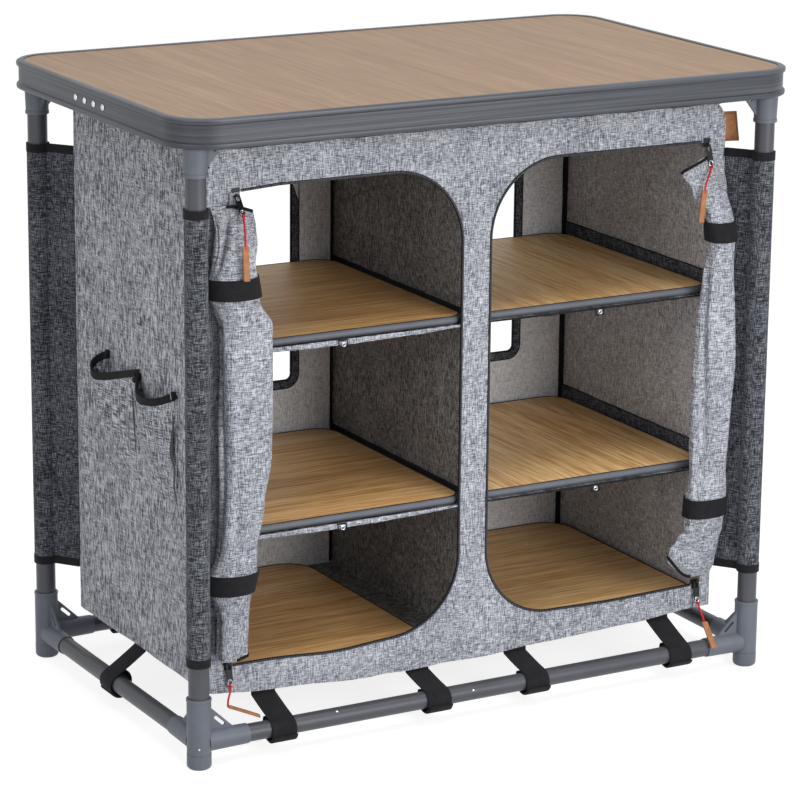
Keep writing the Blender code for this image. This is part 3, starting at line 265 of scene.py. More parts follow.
def leather(name, colour):
    made, tree = blank_material(name, 0.62)
    grain = streaks(tree, 900.0, 3.0, 0.6)
    patch = streaks(tree, 120.0, 2.0, 0.6)
    value = blend(tree, (grain, 0.5), (patch, 0.5))
    tone = ramp(tree, value, (0.35, shade(colour, 0.68)), (0.65, shade(colour, 1.25)))
    return finished(made, tone, (grain, 0.5, 0.0005))


def braid(name, colour):
    made, tree = blank_material(name, 0.6)
    strand = streaks(tree, (1600.0, 1600.0, 700.0))
    tone = ramp(tree, strand, (0.35, shade(colour, 0.55)), (0.6, colour))
    return finished(made, tone, (strand, 0.6, 0.0005))


# Tones from dark to light
PALE = ((80, 83, 94), (153, 156, 166), (222, 225, 232))
# The side tones are the front's pale cloth made a little darker, as painted shade for the sides and the side
# pocket.
SIDE_TONES_PAINTED_SHADE = ((78, 80, 90), (150, 153, 162), (222, 225, 232))
DARK = ((20, 21, 27), (62, 64, 72), (132, 135, 144))
# INNER, WALL and REAR are lit and shaded copies of one inner cloth: the divider, roof and floor get the
# darkest tones as painted shade, the side walls lighter and the rear lightest as painted light.
INNER = ((50, 49, 48), (108, 106, 105), (184, 182, 182))
WALL = ((118, 117, 120), (186, 185, 189), (236, 236, 240))
REAR = ((186, 187, 194), (236, 238, 243), (254, 254, 254))
TABLE_OAK = ((124, 97, 72), (138, 110, 83), (152, 124, 96), (160, 133, 105))
OAK = ((188, 132, 72), (228, 177, 114), (250, 208, 150), (255, 228, 180))
# The right bay's boards use a lighter copy of the same oak decor, as painted light.
OAK_PAINTED_LIGHT = ((198, 143, 82), (240, 192, 128), (255, 222, 166), (255, 236, 192))

LIGHT_CLOTH = melange("light_melange", PALE)
ROLL_CLOTH = melange("roll_melange", PALE, faces=(1.0, 0.45))
# Side and pocket cloth: the front's cloth a little darker, as painted shade.
SIDE_CLOTH = melange("side_melange_painted_shade", SIDE_TONES_PAINTED_SHADE, 0.66, 0.058, (0.2, 0.7), 1300.0, 90.0)
POCKET_CLOTH = melange("pocket_melange_painted_shade", SIDE_TONES_PAINTED_SHADE, 0.5, 0.058, (0.2, 0.7), 1300.0, 90.0)
DARK_CLOTH = melange("dark_melange", DARK, 0.5, 0.095, (1.0, 1.0), 1450.0, 110.0)
# Lit and shaded copies of the inner cloth: painted shade on the divider, roof and floor, painted light on
# the side walls and the rear.
INNER_CLOTH_PAINTED_SHADE = melange("inner_melange", INNER, 0.7, faces=(1.0, 1.0))
WALL_CLOTH_PAINTED_LIGHT = melange("wall_melange_painted_light", WALL, 0.6, faces=(0.25, 1.0))
REAR_CLOTH_PAINTED_LIGHT = melange("rear_melange_painted_light", REAR, 0.6)
BLACK_TAPE = webbing("black_tape", rgb(13, 13, 16), rgb(34, 34, 39))
ZIP_TAPE = webbing("zip_tape", rgb(10, 10, 12), rgb(28, 28, 32), 2200.0)
TUBE_PAINT = moulded("tube_paint", rgb(72, 74, 80), 0.42, 0.1, 0.15)
PLASTIC = moulded("connector_plastic", rgb(98, 103, 113), 0.5, 0.2)
RIM_COAT = extrusion("rim_coat", rgb(68, 71, 79))
RIVET = moulded("rivet_metal", rgb(205, 208, 210), 0.28, 0.05, 0.9)
SILVER = moulded("silver_metal", rgb(190, 192, 196), 0.25, 0.05, 0.95)
BLACK_METAL = moulded("black_metal", rgb(34, 34, 38), 0.32, 0.05, 0.5)
TOOTH_METAL = moulded("tooth_metal", rgb(74, 75, 80), 0.4, 0.05, 0.3)
EDGE_PLASTIC = moulded("edge_plastic", rgb(92, 95, 103), 0.5, 0.08)
# Black for seams, stitching and bound edges, also used for painted shade in the pocket's seam gaps and along
# the boards' edges.
BLACK_SEAM_AND_SHADE = moulded("seam_and_shade_black", rgb(15, 15, 17), 0.6, 0.1)
TABLE_WOOD = wood_decor("table_decor", "Y", TABLE_OAK)
SHELF_WOOD = wood_decor("shelf_decor", "X", OAK)
# Painted light: the right bay's boards get a lighter copy of the shelf oak.
SHELF_WOOD_RIGHT = wood_decor("board_decor_right_painted_light", "X", OAK_PAINTED_LIGHT)
SHELF_WOOD_ACROSS = wood_decor("shelf_decor_across_painted_light", "Y", OAK_PAINTED_LIGHT)
LEATHER = leather("leather", rgb(170, 114, 72))
PALE_THREAD = moulded("pale_thread", rgb(214, 214, 216), 0.7, 0.1)
RED_CORD = braid("red_cord", rgb(226, 22, 34))


# Building


def add_object(name, data):
    made = bpy.data.objects.new(name, data)
    bpy.context.scene.collection.objects.link(made)
    return made


def piece(name, mesh, *materials, body="cupboard", slot=None, smooth=True, replaces=()):
    made = add_object(name, mesh)
    mesh.materials.clear()
    for each in materials:
        mesh.materials.append(each)
    if smooth:
        mesh.shade_smooth()
        mesh.set_sharp_from_angle(angle=math.radians(40))
    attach(made, body)
    if replaces:
        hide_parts(*replaces)
    return made


def mesh_of(points, faces):
    mesh = bpy.data.meshes.new("shape")
    mesh.from_pydata([tuple(p) for p in points], [], faces)
    shape = bmesh.new()
    shape.from_mesh(mesh)
    bmesh.ops.recalc_face_normals(shape, faces=shape.faces)
    shape.to_mesh(mesh)
    shape.free()
    return mesh


def cloth_mesh(surface, across, up, thickness, wrap=False):
    """A closed sheet of even thickness. surface(u, v) gives a point and the outward normal there."""
    columns = across if wrap else across + 1
    outer, inner = [], []
    for j in range(up + 1):
        for i in range(columns):
            point, normal = map(Vector, surface(i / across, j / up))
            outer.append(point + normal * thickness / 2)
            inner.append(point - normal * thickness / 2)
    count = len(outer)
    faces = []

    def at(i, j):
        return j * columns + i % columns

    def add_edge_face(first, second, flip):
        face = (first, second, count + second, count + first)
        faces.append(face[::-1] if flip else face)

    for j in range(up):
        for i in range(across):
            quad = (at(i, j), at(i + 1, j), at(i + 1, j + 1), at(i, j + 1))
            faces.extend((quad, tuple(count + k for k in reversed(quad))))
    for i in range(across):
        for j in (0, up):
            add_edge_face(at(i, j), at(i + 1, j), j == 0)
    for j in range(0 if wrap else up):
        for i in (0, across):
            add_edge_face(at(i, j), at(i, j + 1), i == across)
    return mesh_of(outer + inner, faces)


def tube_mesh(rings, closed=False):
    """A skin over rings of points. Its ends are capped unless the last ring meets the first."""
    count, size = len(rings), len(rings[0])
    faces = []
    for i in range(count if closed else count - 1):
        j = (i + 1) % count
        for k in range(size):
            n = (k + 1) % size
            faces.append((i * size + k, i * size + n, j * size + n, j * size + k))
    if not closed:
        faces.append(tuple(range(size)))
        faces.append(tuple((count - 1) * size + k for k in reversed(range(size))))
    return mesh_of([p for ring in rings for p in ring], faces)


def sweep_mesh(path, section, up, closed=False):
    """section, as (side, up) pairs, carried along path. up is one direction or a list of them."""
    count = len(path)
    rings = []
    for i, point in enumerate(path):
        before = path[(i - 1) % count] if closed or i else path[0]
        after = path[(i + 1) % count] if closed or i < count - 1 else path[-1]
        along = (Vector(after) - Vector(before)).normalized()
        lift = Vector(up[i] if isinstance(up, list) else up)
        side = along.cross(lift).normalized()
        lift = side.cross(along).normalized()
        rings.append([Vector(point) + side * a + lift * b for a, b in section])
    return tube_mesh(rings, closed)


def strip(name, path, section, up, material, closed=False, **more):
    return piece(name, sweep_mesh(path, section, up, closed), material, **more)


def round_section(radius, steps=12):
    return [(radius * math.cos(t), radius * math.sin(t)) for t in turns(steps)]


def arc(centre, radius, start, end, steps):
    points = []
    for i in range(steps + 1):
        angle = math.radians(start + (end - start) * i / steps)
        points.append((centre[0] + radius * math.cos(angle), centre[1] + radius * math.sin(angle)))
    return points


def rounded(left, right, low, high, radii, steps=8):
    """A rectangle with its own radius at each corner, from low left round to high left."""
    corners = ((left, low, 1, 1), (right, low, -1, 1), (right, high, -1, -1), (left, high, 1, -1))
    points = []
    for (x, y, inward_x, inward_y), start, radius in zip(corners, (180, 270, 0, 90), radii):
        centre = (x + inward_x * radius, y + inward_y * radius)
        points += arc(centre, radius, start, start + 90, steps)
    return points


def oblong(width, height, soft=0.35):
    """A section with rounded corners."""
    radius = min(width, height) * soft
    x, y = width / 2, height / 2
    points = rounded(-x, x, -y, y, (radius,) * 4, 3)
    return points[8:] + points[:8]


def spaced(points, spacing=STEP):
    """A closed line with its long straight runs divided."""
    made = []
    for i, point in enumerate(points):
        start, end = Vector(point), Vector(points[(i + 1) % len(points)])
        parts = max(1, int((end - start).length / spacing))
        made += [tuple(start.lerp(end, k / parts)) for k in range(parts)]
    return made


def ellipse(centre, a, b, count):
    """Points round a centre, from its two half axes."""
    return [Vector(centre) + Vector(a) * math.cos(t) + Vector(b) * math.sin(t) for t in turns(count)]


def smooth_line(points, parts):
    """A Catmull-Rom line through points."""
    ends = [points[0] * 2 - points[1], *points, points[-1] * 2 - points[-2]]
    line = []
    for i in range(1, len(ends) - 2):
        a, b, c, d = ends[i - 1 : i + 3]
        for k in range(parts):
            t = k / parts
            square = (2 * a - 5 * b + 4 * c - d) * t**2
            line.append(0.5 * (2 * b + (c - a) * t + square + (3 * b - a - 3 * c + d) * t**3))
    return line + [points[-1]]


def chords(path):
    """From the point before to the point after, for each point of a path."""
    last = len(path) - 1
    return [path[min(last, i + 1)] - path[max(0, i - 1)] for i in range(last + 1)]


def blocks_mesh(blocks):
    """Small blocks, each from its centre and its three half edges."""
    points, faces = [], []
    ends = (-1, 1)
    for centre, a, b, c in blocks:
        base = len(points)
        points += [centre + a * i + b * j + c * k for i in ends for j in ends for k in ends]
        for quad in ("0132", "4675", "0451", "2376", "0264", "1573"):
            faces.append(tuple(base + int(n) for n in quad))
    return mesh_of(points, faces)


def cut_mesh(mesh, loops, y, reach=0.02):
    """mesh without what lies inside each loop, drawn in XZ, within reach of y."""
    body = add_object("body", mesh)
    helpers = []
    for loop in loops:
        rings = [[(a, depth, b) for a, b in loop] for depth in (y - reach, y + reach)]
        helpers.append(add_object("helper", tube_mesh(rings)))
        boolean = body.modifiers.new("cut", "BOOLEAN")
        boolean.operation = "DIFFERENCE"
        boolean.solver = "EXACT"
        boolean.object = helpers[-1]
    bpy.context.view_layer.update()
    graph = bpy.context.evaluated_depsgraph_get()
    made = bpy.data.meshes.new_from_object(body.evaluated_get(graph))
    for each in [body, *helpers]:
        bpy.data.objects.remove(each)
    return made


def ripple(point, scale, seed):
    return noise.noise(Vector([a * b for a, b in zip(point, scale)]) + Vector(seed))


def push(mesh, normal, amount):
    """Moves each point of a mesh along normal by amount(point)."""
    for vertex in mesh.vertices:
        vertex.co += Vector(normal) * amount(vertex.co)
    mesh.update()


# Cupboard cloth


def front_sag(x):
    share = x / HALF_X
    return CABINET_BOTTOM - 0.0165 * (1 - share**2) * (1 - 0.35 * share)


def door_outline(side, inset=0.0, steps=16):
    """A D-shaped opening, round at the post, with its hinge line between the two outer corners."""
    inner = side * DIVIDER_X + POST_HALF + DOOR_RADIUS
    (high_x, high_z), (low_x, low_z) = DOOR_CORNERS[side]
    big, small = DOOR_RADIUS - inset, max(0.0025 - inset, 0.0004)
    out = inset + small
    points = arc((low_x - out, low_z + out), small, -90, 0, 4)
    points += arc((high_x - out, high_z - out), small, 0, 90, 4)
    points.append((high_x - DOOR_REACH, DOOR_TOP - inset))
    points += arc((inner, DOOR_TOP - DOOR_RADIUS), big, 90, 180, steps)
    points += arc((inner, DOOR_BOTTOM + DOOR_RADIUS), big, 180, 270, steps)
    return [(side * x, z) for x, z in spaced(points)]


DOOR_LOOPS = [door_outline(side, 0.0, 6) for side, word in SIDES]


def near_door(x, z):
    """Distance from a place on the front to the nearest door edge, measured to its outline points."""
    return min(math.hypot(x - a, z - b) for loop in DOOR_LOOPS for a, b in loop)


def hang(x, z):
    """How far the front cloth and its zip hang down at a place near the foot of the openings."""
    dip = 0.0055 * bell(x, -0.196, 0.06) + 0.0024 * bell(x, 0.22, 0.07)
    hem = grown(z, 0.105, -0.02)
    return hem * 0.0022 * ripple((x, 0, z), (16, 1, 4), (5, 5, 1)) - dip * bell(z, DOOR_BOTTOM, 0.035)


def tuck(mesh):
    """Draws the cupboard's upper front right corner in, as its strap does."""
    for vertex in mesh.vertices:
        x, y, z = vertex.co
        high, outer = grown(z, 0.738, 0.032), grown(x, 0.345, 0.034)
        front = grown(y, -0.11, -0.08)
        vertex.co.x -= 0.012 * (high * outer) ** 2.5 * front
        vertex.co.z -= 0.003 * high * outer**2 * front
    return mesh


def wall_mesh(end, across, up, loops):
    """The front or rear wall with its openings cut out."""

    def surface(u, v):
        x = -HALF_X + 2 * HALF_X * u
        z = front_sag(x) * (1 - v) + CABINET_TOP * v
        return (x, end * WALL_Y, z), (0, end, 0)

    return cut_mesh(cloth_mesh(surface, across, up, WALL_THICK), loops, end * HALF_Y)


def line_inside(mesh, outward):
    """Gives the second material to the faces that look into the cupboard."""
    for face in mesh.polygons:
        face.material_index = 1 if face.normal.dot(Vector(outward)) < -0.3 else 0


def add_front():
    mesh = wall_mesh(-1, 110, 100, [door_outline(side, -0.0001) for side, word in SIDES])

    def swell(point):
        free = grown(near_door(point.x, point.z), 0.009, 0.02)
        edge = grown(abs(point.x), HALF_X, -0.012)
        slant = (point.x + 0.5 * point.z, 0, point.z - 0.5 * point.x)
        wave = ripple(slant, (11, 1, 8), (3, 0, 7)) + 0.5 * ripple(slant, (38, 1, 20), (9, 0, 2))
        return max(-0.0006, 0.0028 * wave + 0.0004) * free * edge

    push(mesh, (0, -1, 0), swell)
    push(mesh, Z, lambda point: hang(point.x, point.z))
    made = piece("front_cloth", tuck(mesh), LIGHT_CLOTH, replaces=["front_panel"])


def window_outline(side, inset=0.0):
    left, right = sorted((side * (0.061 + inset), side * (0.294 - inset)))
    radius = max(0.004, 0.0085 - inset)
    return spaced(rounded(left, right, 0.356 + inset, 0.7 - inset, (radius,) * 4))


def add_rear():
    mesh = wall_mesh(1, 90, 80, [window_outline(side) for side, word in SIDES])

    def swell(point):
        edge = grown(abs(point.x), HALF_X, -0.02)
        return 0.0016 * ripple(point, (12, 1, 8), (1, 5, 3)) * edge

    push(mesh, Y, swell)
    made = piece("rear_cloth", mesh, LIGHT_CLOTH, REAR_CLOTH_PAINTED_LIGHT, replaces=["rear_panel"])
    line_inside(mesh, Y)
    for side, word in SIDES:
        for name, inset, section, material in (
            ("binding", -0.0055, oblong(0.013, 0.0034), DARK_CLOTH),
            ("edge_inner", 0.0002, oblong(0.0016, 0.0044), BLACK_TAPE),
            ("edge_outer", -0.0112, oblong(0.0016, 0.0044), BLACK_TAPE),
        ):
            path = [(x, WALL_Y, z) for x, z in window_outline(side, inset)]
            strip(f"window_{name}_{word}", path, section, Y, material, True)


def add_sides():
    for (side, word), seed in zip(SIDES, ((4, 2, 8), (6, 1, 5))):

        def surface(u, v, side=side):
            y = -HALF_Y + 0.001 + (2 * HALF_Y - 0.002) * u
            z = CABINET_BOTTOM + (CABINET_TOP - CABINET_BOTTOM) * v
            return (side * WALL_X, y, z), (side, 0, 0)

        def swell(point, seed=seed):
            edge = grown(abs(point.y), HALF_Y, -0.016)
            wave = ripple(point, (1, 10, 5), seed) + 0.4 * ripple(point, (1, 30, 12), seed)
            return max(-0.0008, 0.0024 * wave + 0.0005) * edge

        mesh = cloth_mesh(surface, 60, 100, WALL_THICK)
        push(mesh, (side, 0, 0), swell)
        replaced = [word + "_panel"]
        made = piece(word + "_cloth", tuck(mesh), SIDE_CLOTH, WALL_CLOTH_PAINTED_LIGHT, replaces=replaced)
        line_inside(mesh, (side, 0, 0))


def swaying(x, y, low, high, count, sway, wave, seed):
    """Points of an upright line that sways a little along X."""
    path = []
    for share in shares(count):
        z = low + (high - low) * share
        path.append((x + sway * ripple((x, y, z), (1, 1, wave), seed), y, z))
    return path


def add_seams():
    """The four upright corner seams, and the black piping of the rear seams inside the bays."""
    for side, word in SIDES:
        for end, end_word in ENDS:
            x, y = side * (HALF_X - 0.0008), end * (HALF_Y - 0.0008)
            path = swaying(x, y, CABINET_BOTTOM, CABINET_TOP, 60, 0.0006, 22, (2, 2, 2))
            mesh = tuck(sweep_mesh(path, round_section(0.0011, 8), Y))
            piece(f"corner_seam_{end_word}_{word}", mesh, LIGHT_CLOTH)
        inner, outer = DIVIDER_X + side * 0.0042, side * (HALF_X - CLOTH - 0.0028)
        for x, turn, width, place in ((outer, -side, 0.0074, "outer"), (inner, side, 0.004, "inner")):
            path = swaying(x, 0, 0.0868, CABINET_TOP - 0.007, 90, 0.0007, 40, (5, 2, 2))
            path = [(px, HALF_Y - CLOTH - 0.0028 + px - x, z) for px, y, z in path]
            name = f"bay_piping_{word}_{place}"
            strip(name, path, oblong(width, 0.0012), (turn, -1, 0), BLACK_TAPE)


def add_inner_cloth():
    x, y = HALF_X - CLOTH - 0.0002, HALF_Y - CLOTH - 0.0002
    for name, height, replaced, seed in (
        ("roof_cloth", 0.767, "top_panel", (1, 1, 1)),
        ("floor_cloth", 0.0839, "bottom_panel", (7, 1, 1)),
    ):

        def surface(u, v, height=height, seed=seed):
            place = (2 * x * u - x, 2 * y * v - y, 0)
            lift = 0.0008 * ripple(place, (14, 14, 1), seed) * faded(8, u, v)
            return (place[0], place[1], height + lift), Z

        mesh = tuck(cloth_mesh(surface, 70, 40, SHEET_THICK))
        made = piece(name, mesh, INNER_CLOTH_PAINTED_SHADE, replaces=[replaced])

    def divider(u, v):
        place = (DIVIDER_X, -y + 2 * y * u, 0.0856 + (0.7656 - 0.0856) * v)
        sway = 0.0007 * ripple(place, (1, 9, 6), (2, 8, 1)) * faded(8, u)
        return (place[0] + sway, *place[1:]), X

    mesh = cloth_mesh(divider, 50, 90, WALL_THICK)
    made = piece("divider_cloth", mesh, INNER_CLOTH_PAINTED_SHADE, replaces=["divider"])


TOOTH_STEP = 0.0024
ZIP_LIMITS = {-1: (0.3385, 0.3515), 1: (0.352, 0.357)}


def add_zip_tapes():
    """The toothed tape round each door opening. It stops short of the pulled-open door's hinge side."""
    for side, word in SIDES:
        limit = ZIP_LIMITS[side]
        outline = door_outline(side, -0.0014, 20)
        run = [p for p in outline if abs(p[0]) < limit[1 if p[1] < 0.4 else 0]]
        gap = max(range(len(run)), key=lambda i: math.dist(run[i], run[(i + 1) % len(run)]))
        run = run[gap + 1 :] + run[: gap + 1]
        path = [Vector((x, -WALL_Y - 0.0003, z + hang(x, z))) for x, z in run]
        strip("door_zip_" + word, path, oblong(0.0036, 0.0028, 0.3), Y, ZIP_TAPE)
        teeth = []
        for start, end in zip(path, path[1:]):
            along = (end - start).normalized()
            across = along.cross(Vector(Y))
            for k in range(int((end - start).length / TOOTH_STEP)):
                place = start + along * TOOTH_STEP * (k + 0.5) + Vector((0, -0.0016, 0))
                teeth.append((place, along * 0.0006, across * 0.0011, Vector((0, 0.0006, 0))))
        piece("door_teeth_" + word, blocks_mesh(teeth), TOOTH_METAL, smooth=False)


# Sleeves

SLEEVE_LOW, SLEEVE_HIGH = 0.1345, 0.7075


def sleeve_path(side, end, extra=0.0):
    """Plan line of a sleeve: from the cupboard's corner round the leg and back."""
    centre = Vector((side * TUBE_X, end * TUBE_Y))
    reach = Vector((side * (HALF_X - TUBE_X), end * (HALF_Y - TUBE_Y)))
    along = reach.normalized()
    radius = 0.0142 + extra
    gap = 0.00075 + extra
    across = Vector((-along.y, along.x)) * gap
    heading = math.degrees(math.atan2(reach.y, reach.x))
    opening = math.degrees(math.asin(gap / radius))
    near = radius * math.cos(math.radians(opening)) + 0.0025
    far = reach.length - 0.0006
    lane = [centre + along * (near + (far - near) * share) for share in shares(10)]
    round_leg = arc(centre, radius, heading + opening + 6, heading + 354 - opening, 36)
    return [p + across for p in reversed(lane)] + [Vector(p) for p in round_leg] + [p - across for p in lane]


def sleeve_mesh(side, end, low, high, thickness, extra, rows, sway):
    path = sleeve_path(side, end, extra)
    normals = [Vector((a.y, -a.x)).normalized() for a in chords(path)]
    last = len(path) - 1

    def surface(u, v):
        i = round(u * last)
        z = low + (high - low) * v
        wave = sway * ripple((*path[i], z), (45, 45, 9), (side, end, 3)) * faded(10, v)
        return (*(path[i] + normals[i] * wave), z), (*normals[i], 0)

    return cloth_mesh(surface, last, rows, thickness)


def add_sleeves():
    for end, end_word in ENDS:
        for side, side_word in SIDES:
            word = end_word + "_" + side_word
            mesh = sleeve_mesh(side, end, SLEEVE_LOW, SLEEVE_HIGH, 0.0009, 0.0, 70, 0.0004)
            made = piece("sleeve_cloth_" + word, mesh, DARK_CLOTH, replaces=["sleeve_" + word])
            for low, place in ((SLEEVE_LOW - 0.0005, "bottom"), (SLEEVE_HIGH - 0.0105, "top")):
                mesh = sleeve_mesh(side, end, low, low + 0.011, 0.0008, 0.0008, 4, 0.0)
                piece(f"sleeve_hem_{word}_{place}", mesh, BLACK_TAPE)


# Shelves

EDGE_RADII = (0.026, 0.026, 0.036, 0.036)
BOARD_RADII = (0.026, 0.026, 0.045, 0.045)
SHELF_DEPTH = HALF_Y - CLOTH - 0.003
SLING_FRONT = -0.1904


def add_edge(name, left, right, radii, top, bound=False):
    """The half-round edge of a board and the dark line on it: a real bead line, drawn wide enough to carry
    painted shade along the sides and rear. A bound board has a black edge.
    """
    bow = [math.radians(-90 + 15 * i) for i in range(13)]
    section = [(0.0001 + 0.0046 * math.cos(t), 0.00515 * math.sin(t)) for t in bow]
    section += [(-0.0008, 0.0049), (-0.0008, -0.0049)]
    for word, inset, z, shape, material in (
        ("edge_", 0.0044, top - 0.005, section, BLACK_SEAM_AND_SHADE if bound else EDGE_PLASTIC),
        # The dark line is partly the edge's bead and partly painted shade where the edge lies in shadow.
        ("edge_line_and_shade_", 0.004, top - 0.0001, oblong(0.0024, 0.001), BLACK_SEAM_AND_SHADE),
    ):
        depth = SHELF_DEPTH - inset
        corners = [r - inset for r in radii]
        outline = rounded(left + inset, right - inset, -depth, depth, corners)
        path = [(x, y, z) for x, y in spaced(outline, 0.02)]
        strip(word + name, path, shape, Z, material, True, slot="shelf_decor")


def add_clip(name, x, top):
    """A small bright fitting in a black bound notch under the middle of a shelf's front edge."""
    y, z = -0.1922, top - 0.0152
    corners = ((-0.0072, 0.0042), (-0.0048, -0.0046), (0.0064, -0.0046), (0.0056, 0.0042))
    path = [(x + a, y, z + b) for a, b in corners]
    strip("clip_binding_" + name, path, oblong(0.0022, 0.0018), Y, BLACK_TAPE, True)
    wire = round_section(0.0008, 8)
    path = ellipse((x + 0.0006, y - 0.0006, z - 0.0014), (0.0026, 0, 0), (0, 0, 0.0021), 20)
    strip("clip_" + name, path, wire, Y, SILVER, True)
    path = [(x - 0.0026, y - 0.0004, z + 0.002), (x + 0.003, y - 0.0004, z + 0.0016)]
    strip("clip_bar_" + name, path, wire, Y, SILVER)


def add_shelves():
    for side, word in SIDES:
        near, far = DIVIDER_X + side * 0.0018, side * (HALF_X - CLOTH - 0.0003)
        left, right = sorted((near + side * 0.0055, far - side * 0.0055))
        for level, top in SHELF_TOPS.items():
            name = level + "_" + word
            add_edge(name, left, right, EDGE_RADII, top)
            add_sling(name, side, near, far, top)
            add_clip(name, (near + far) / 2, top)
        left, right = sorted((side * 0.045, side * (HALF_X - CLOTH - 0.003)))
        add_edge("bottom_" + word, left, right, BOARD_RADII, FLOOR_TOP, True)


def add_sling(name, side, near, far, top):
    bright = side < 0

    def floor(u, v):
        """A place on the sling: u runs from the divider to the outer wall, v from front to rear."""
        x = near + side * 0.0012 + (far - near - side * 0.0024) * u
        y = SLING_FRONT * (1 - 2 * v)
        drop = 4 * (0.005 if bright else 0.0012) * u * (1 - u)
        pucker = 0.0011 * ripple((x, y, top), (55, 20, 3), (3, 3, 3)) * faded(6, u)
        return (x, y, top - 0.0112 - drop + min(0.0, pucker)), Z

    def hem(u, v):
        x, y, z = floor(u, 0.0)[0]
        foot = (x, y, z - 0.0006)
        head = top - 0.0102 + 0.0003 * ripple(foot, (160, 1, 1), (1, 4, 1))
        crimp = 0.0005 * ripple(foot, (240, 1, 1), (8, 4, 1)) - 0.0008 * hump(v)
        return (x, SLING_FRONT - 0.0007 + crimp, foot[2] + (head - foot[2]) * v), (0, -1, 0)

    mesh = cloth_mesh(floor, 60, 40, SHEET_THICK)
    made = piece("sling_cloth_" + name, mesh, LIGHT_CLOTH, replaces=["sling_" + name])
    piece("sling_hem_" + name, cloth_mesh(hem, 90, 5, 0.001), LIGHT_CLOTH if bright else BLACK_TAPE)
    # The inner black strip along the divider is partly the board's dark edge and partly painted shade in the
    # gap between board and divider.
    for x, rise, material, word in (
        (far - side * 0.0008, 0.014, DARK_CLOTH, "outer"),
        (near + side * 0.0008, 0.003, BLACK_TAPE, "inner"),
    ):

        def flap(u, v, x=x, rise=rise):
            y = -0.1902 + 0.3804 * u
            head = 0.0125 + rise + 0.0008 * ripple((x, y, 0), (1, 30, 1), (2, 2, 2))
            return (x, y, top - 0.0125 + head * v), X

        mesh = cloth_mesh(flap, 50, 4, 0.001)
        piece(f"sling_flap_{name}_{word}", mesh, material, slot="dark_fabric")
        if word == "outer":
            path = [flap(share, 1.0)[0] for share in shares(51)]
            strip("sling_flap_edge_" + name, path, oblong(0.0016, 0.0016), Z, BLACK_TAPE)


# Rolled doors

# Share of the height, shares of the width and of the depth, and pull toward the slider
LEFT_ROLL = (
    (0.0, 0.62, 0.72, 0.1),
    (0.03, 0.63, 0.78, 0.0),
    (0.1, 0.64, 0.8, 0.0),
    (0.24, 0.76, 0.9, 0.0),
    (0.34, 0.88, 1.0, 0.0),
    (0.46, 0.98, 1.0, 0.0),
    (0.62, 1.0, 1.0, 0.0),
    (0.74, 1.0, 0.98, 0.0),
    (0.8, 0.78, 0.94, 0.0),
    (0.87, 0.72, 0.96, 0.0),
    (0.92, 0.76, 0.8, 0.2),
    (0.955, 0.72, 0.55, 0.6),
    (0.98, 0.68, 0.36, 0.9),
    (1.0, 0.5, 0.18, 1.0),
)
RIGHT_ROLL = (
    (0.0, 0.81, 0.3, 1.0),
    (0.03, 0.87, 0.52, 0.6),
    (0.08, 0.81, 0.66, 0.15),
    (0.12, 0.7, 0.76, 0.0),
    (0.24, 0.68, 0.88, 0.0),
    (0.34, 0.7, 0.94, 0.0),
    (0.48, 0.68, 0.96, 0.0),
    (0.62, 0.64, 0.94, 0.0),
    (0.72, 0.56, 0.9, 0.0),
    (0.79, 0.46, 0.84, 0.0),
    (0.86, 0.48, 0.72, 0.1),
    (0.91, 0.66, 0.52, 0.6),
    (0.965, 0.77, 0.3, 1.0),
    (1.0, 0.45, 0.16, 1.1),
)
ROLLS = {-1: LEFT_ROLL, 1: RIGHT_ROLL}
ROLL_LOW = 0.125
ROLL_HIGHS = {-1: 0.699, 1: 0.706}
ROLL_WIDTH = 0.092
ROLL_DEPTH = 0.044
TIE_HEIGHTS = (0.6025, 0.227)
TIE_WIDTH = 0.026


def left_folds(z):
    """Deep folds of the left roll at one height: direction, spread and depth."""
    if z > TIE_HEIGHTS[0]:
        rise = grown(z, 0.61, 0.08)
        return (
            (-0.05, 0.52, 0.019 - 0.009 * rise),
            (-0.36 - 0.85 * rise, 0.19, 0.01 + 0.006 * rise),
            (-1.72 - 0.3 * rise, 0.15, 0.0034),
            (-2.3, 0.2, 0.0026),
            (-1.3 - 0.4 * rise, 0.1, 0.002),
        )
    share = (z - 0.125) / 0.475
    mid = hump(grown(share, 0.0, 1.0))
    return (
        (-0.05 + 0.05 * math.sin(9 * share), 0.6, 0.0185),
        (-1.15 - 0.35 * share, 0.16, 0.0022 * mid),
        (-2.1 + 0.3 * share, 0.2, 0.0024),
        (-1.7 + 0.5 * math.sin(3 * share), 0.12, 0.0012 * mid),
    )


def right_folds(z):
    """Deep folds of the right roll at one height."""
    if z > TIE_HEIGHTS[0]:
        rise = z - 0.64
        return ((-1.45 + 6.0 * rise, 0.14, 0.0022), (-0.9 + 7.0 * rise, 0.12, 0.002))
    share = (z - 0.125) / 0.475
    mid = hump(grown(z, 0.24, 0.35))
    return (
        (-0.65, 0.6, -0.006 * mid),
        (-2.45 + 0.35 * math.sin(5.0 * share), 0.34, 0.0075 * (0.4 + 0.6 * mid)),
        (-1.35 + 0.4 * share, 0.14, 0.0018),
        (-1.45 + 34.0 * (z - 0.183), 0.34, 0.01 * bell(z, 0.183, 0.026)),
    )


FOLDS = {-1: left_folds, 1: right_folds}


def station(side, share):
    """Row of a roll's table at a share of its height, eased between its rows."""
    table = ROLLS[side]
    for (low, *below), (high, *above) in zip(table, table[1:]):
        if share <= high:
            part = (share - low) / (high - low)
            part = part * part * (3 - 2 * part)
            return [a + (b - a) * part for a, b in zip(below, above)]
    return table[-1][1:]


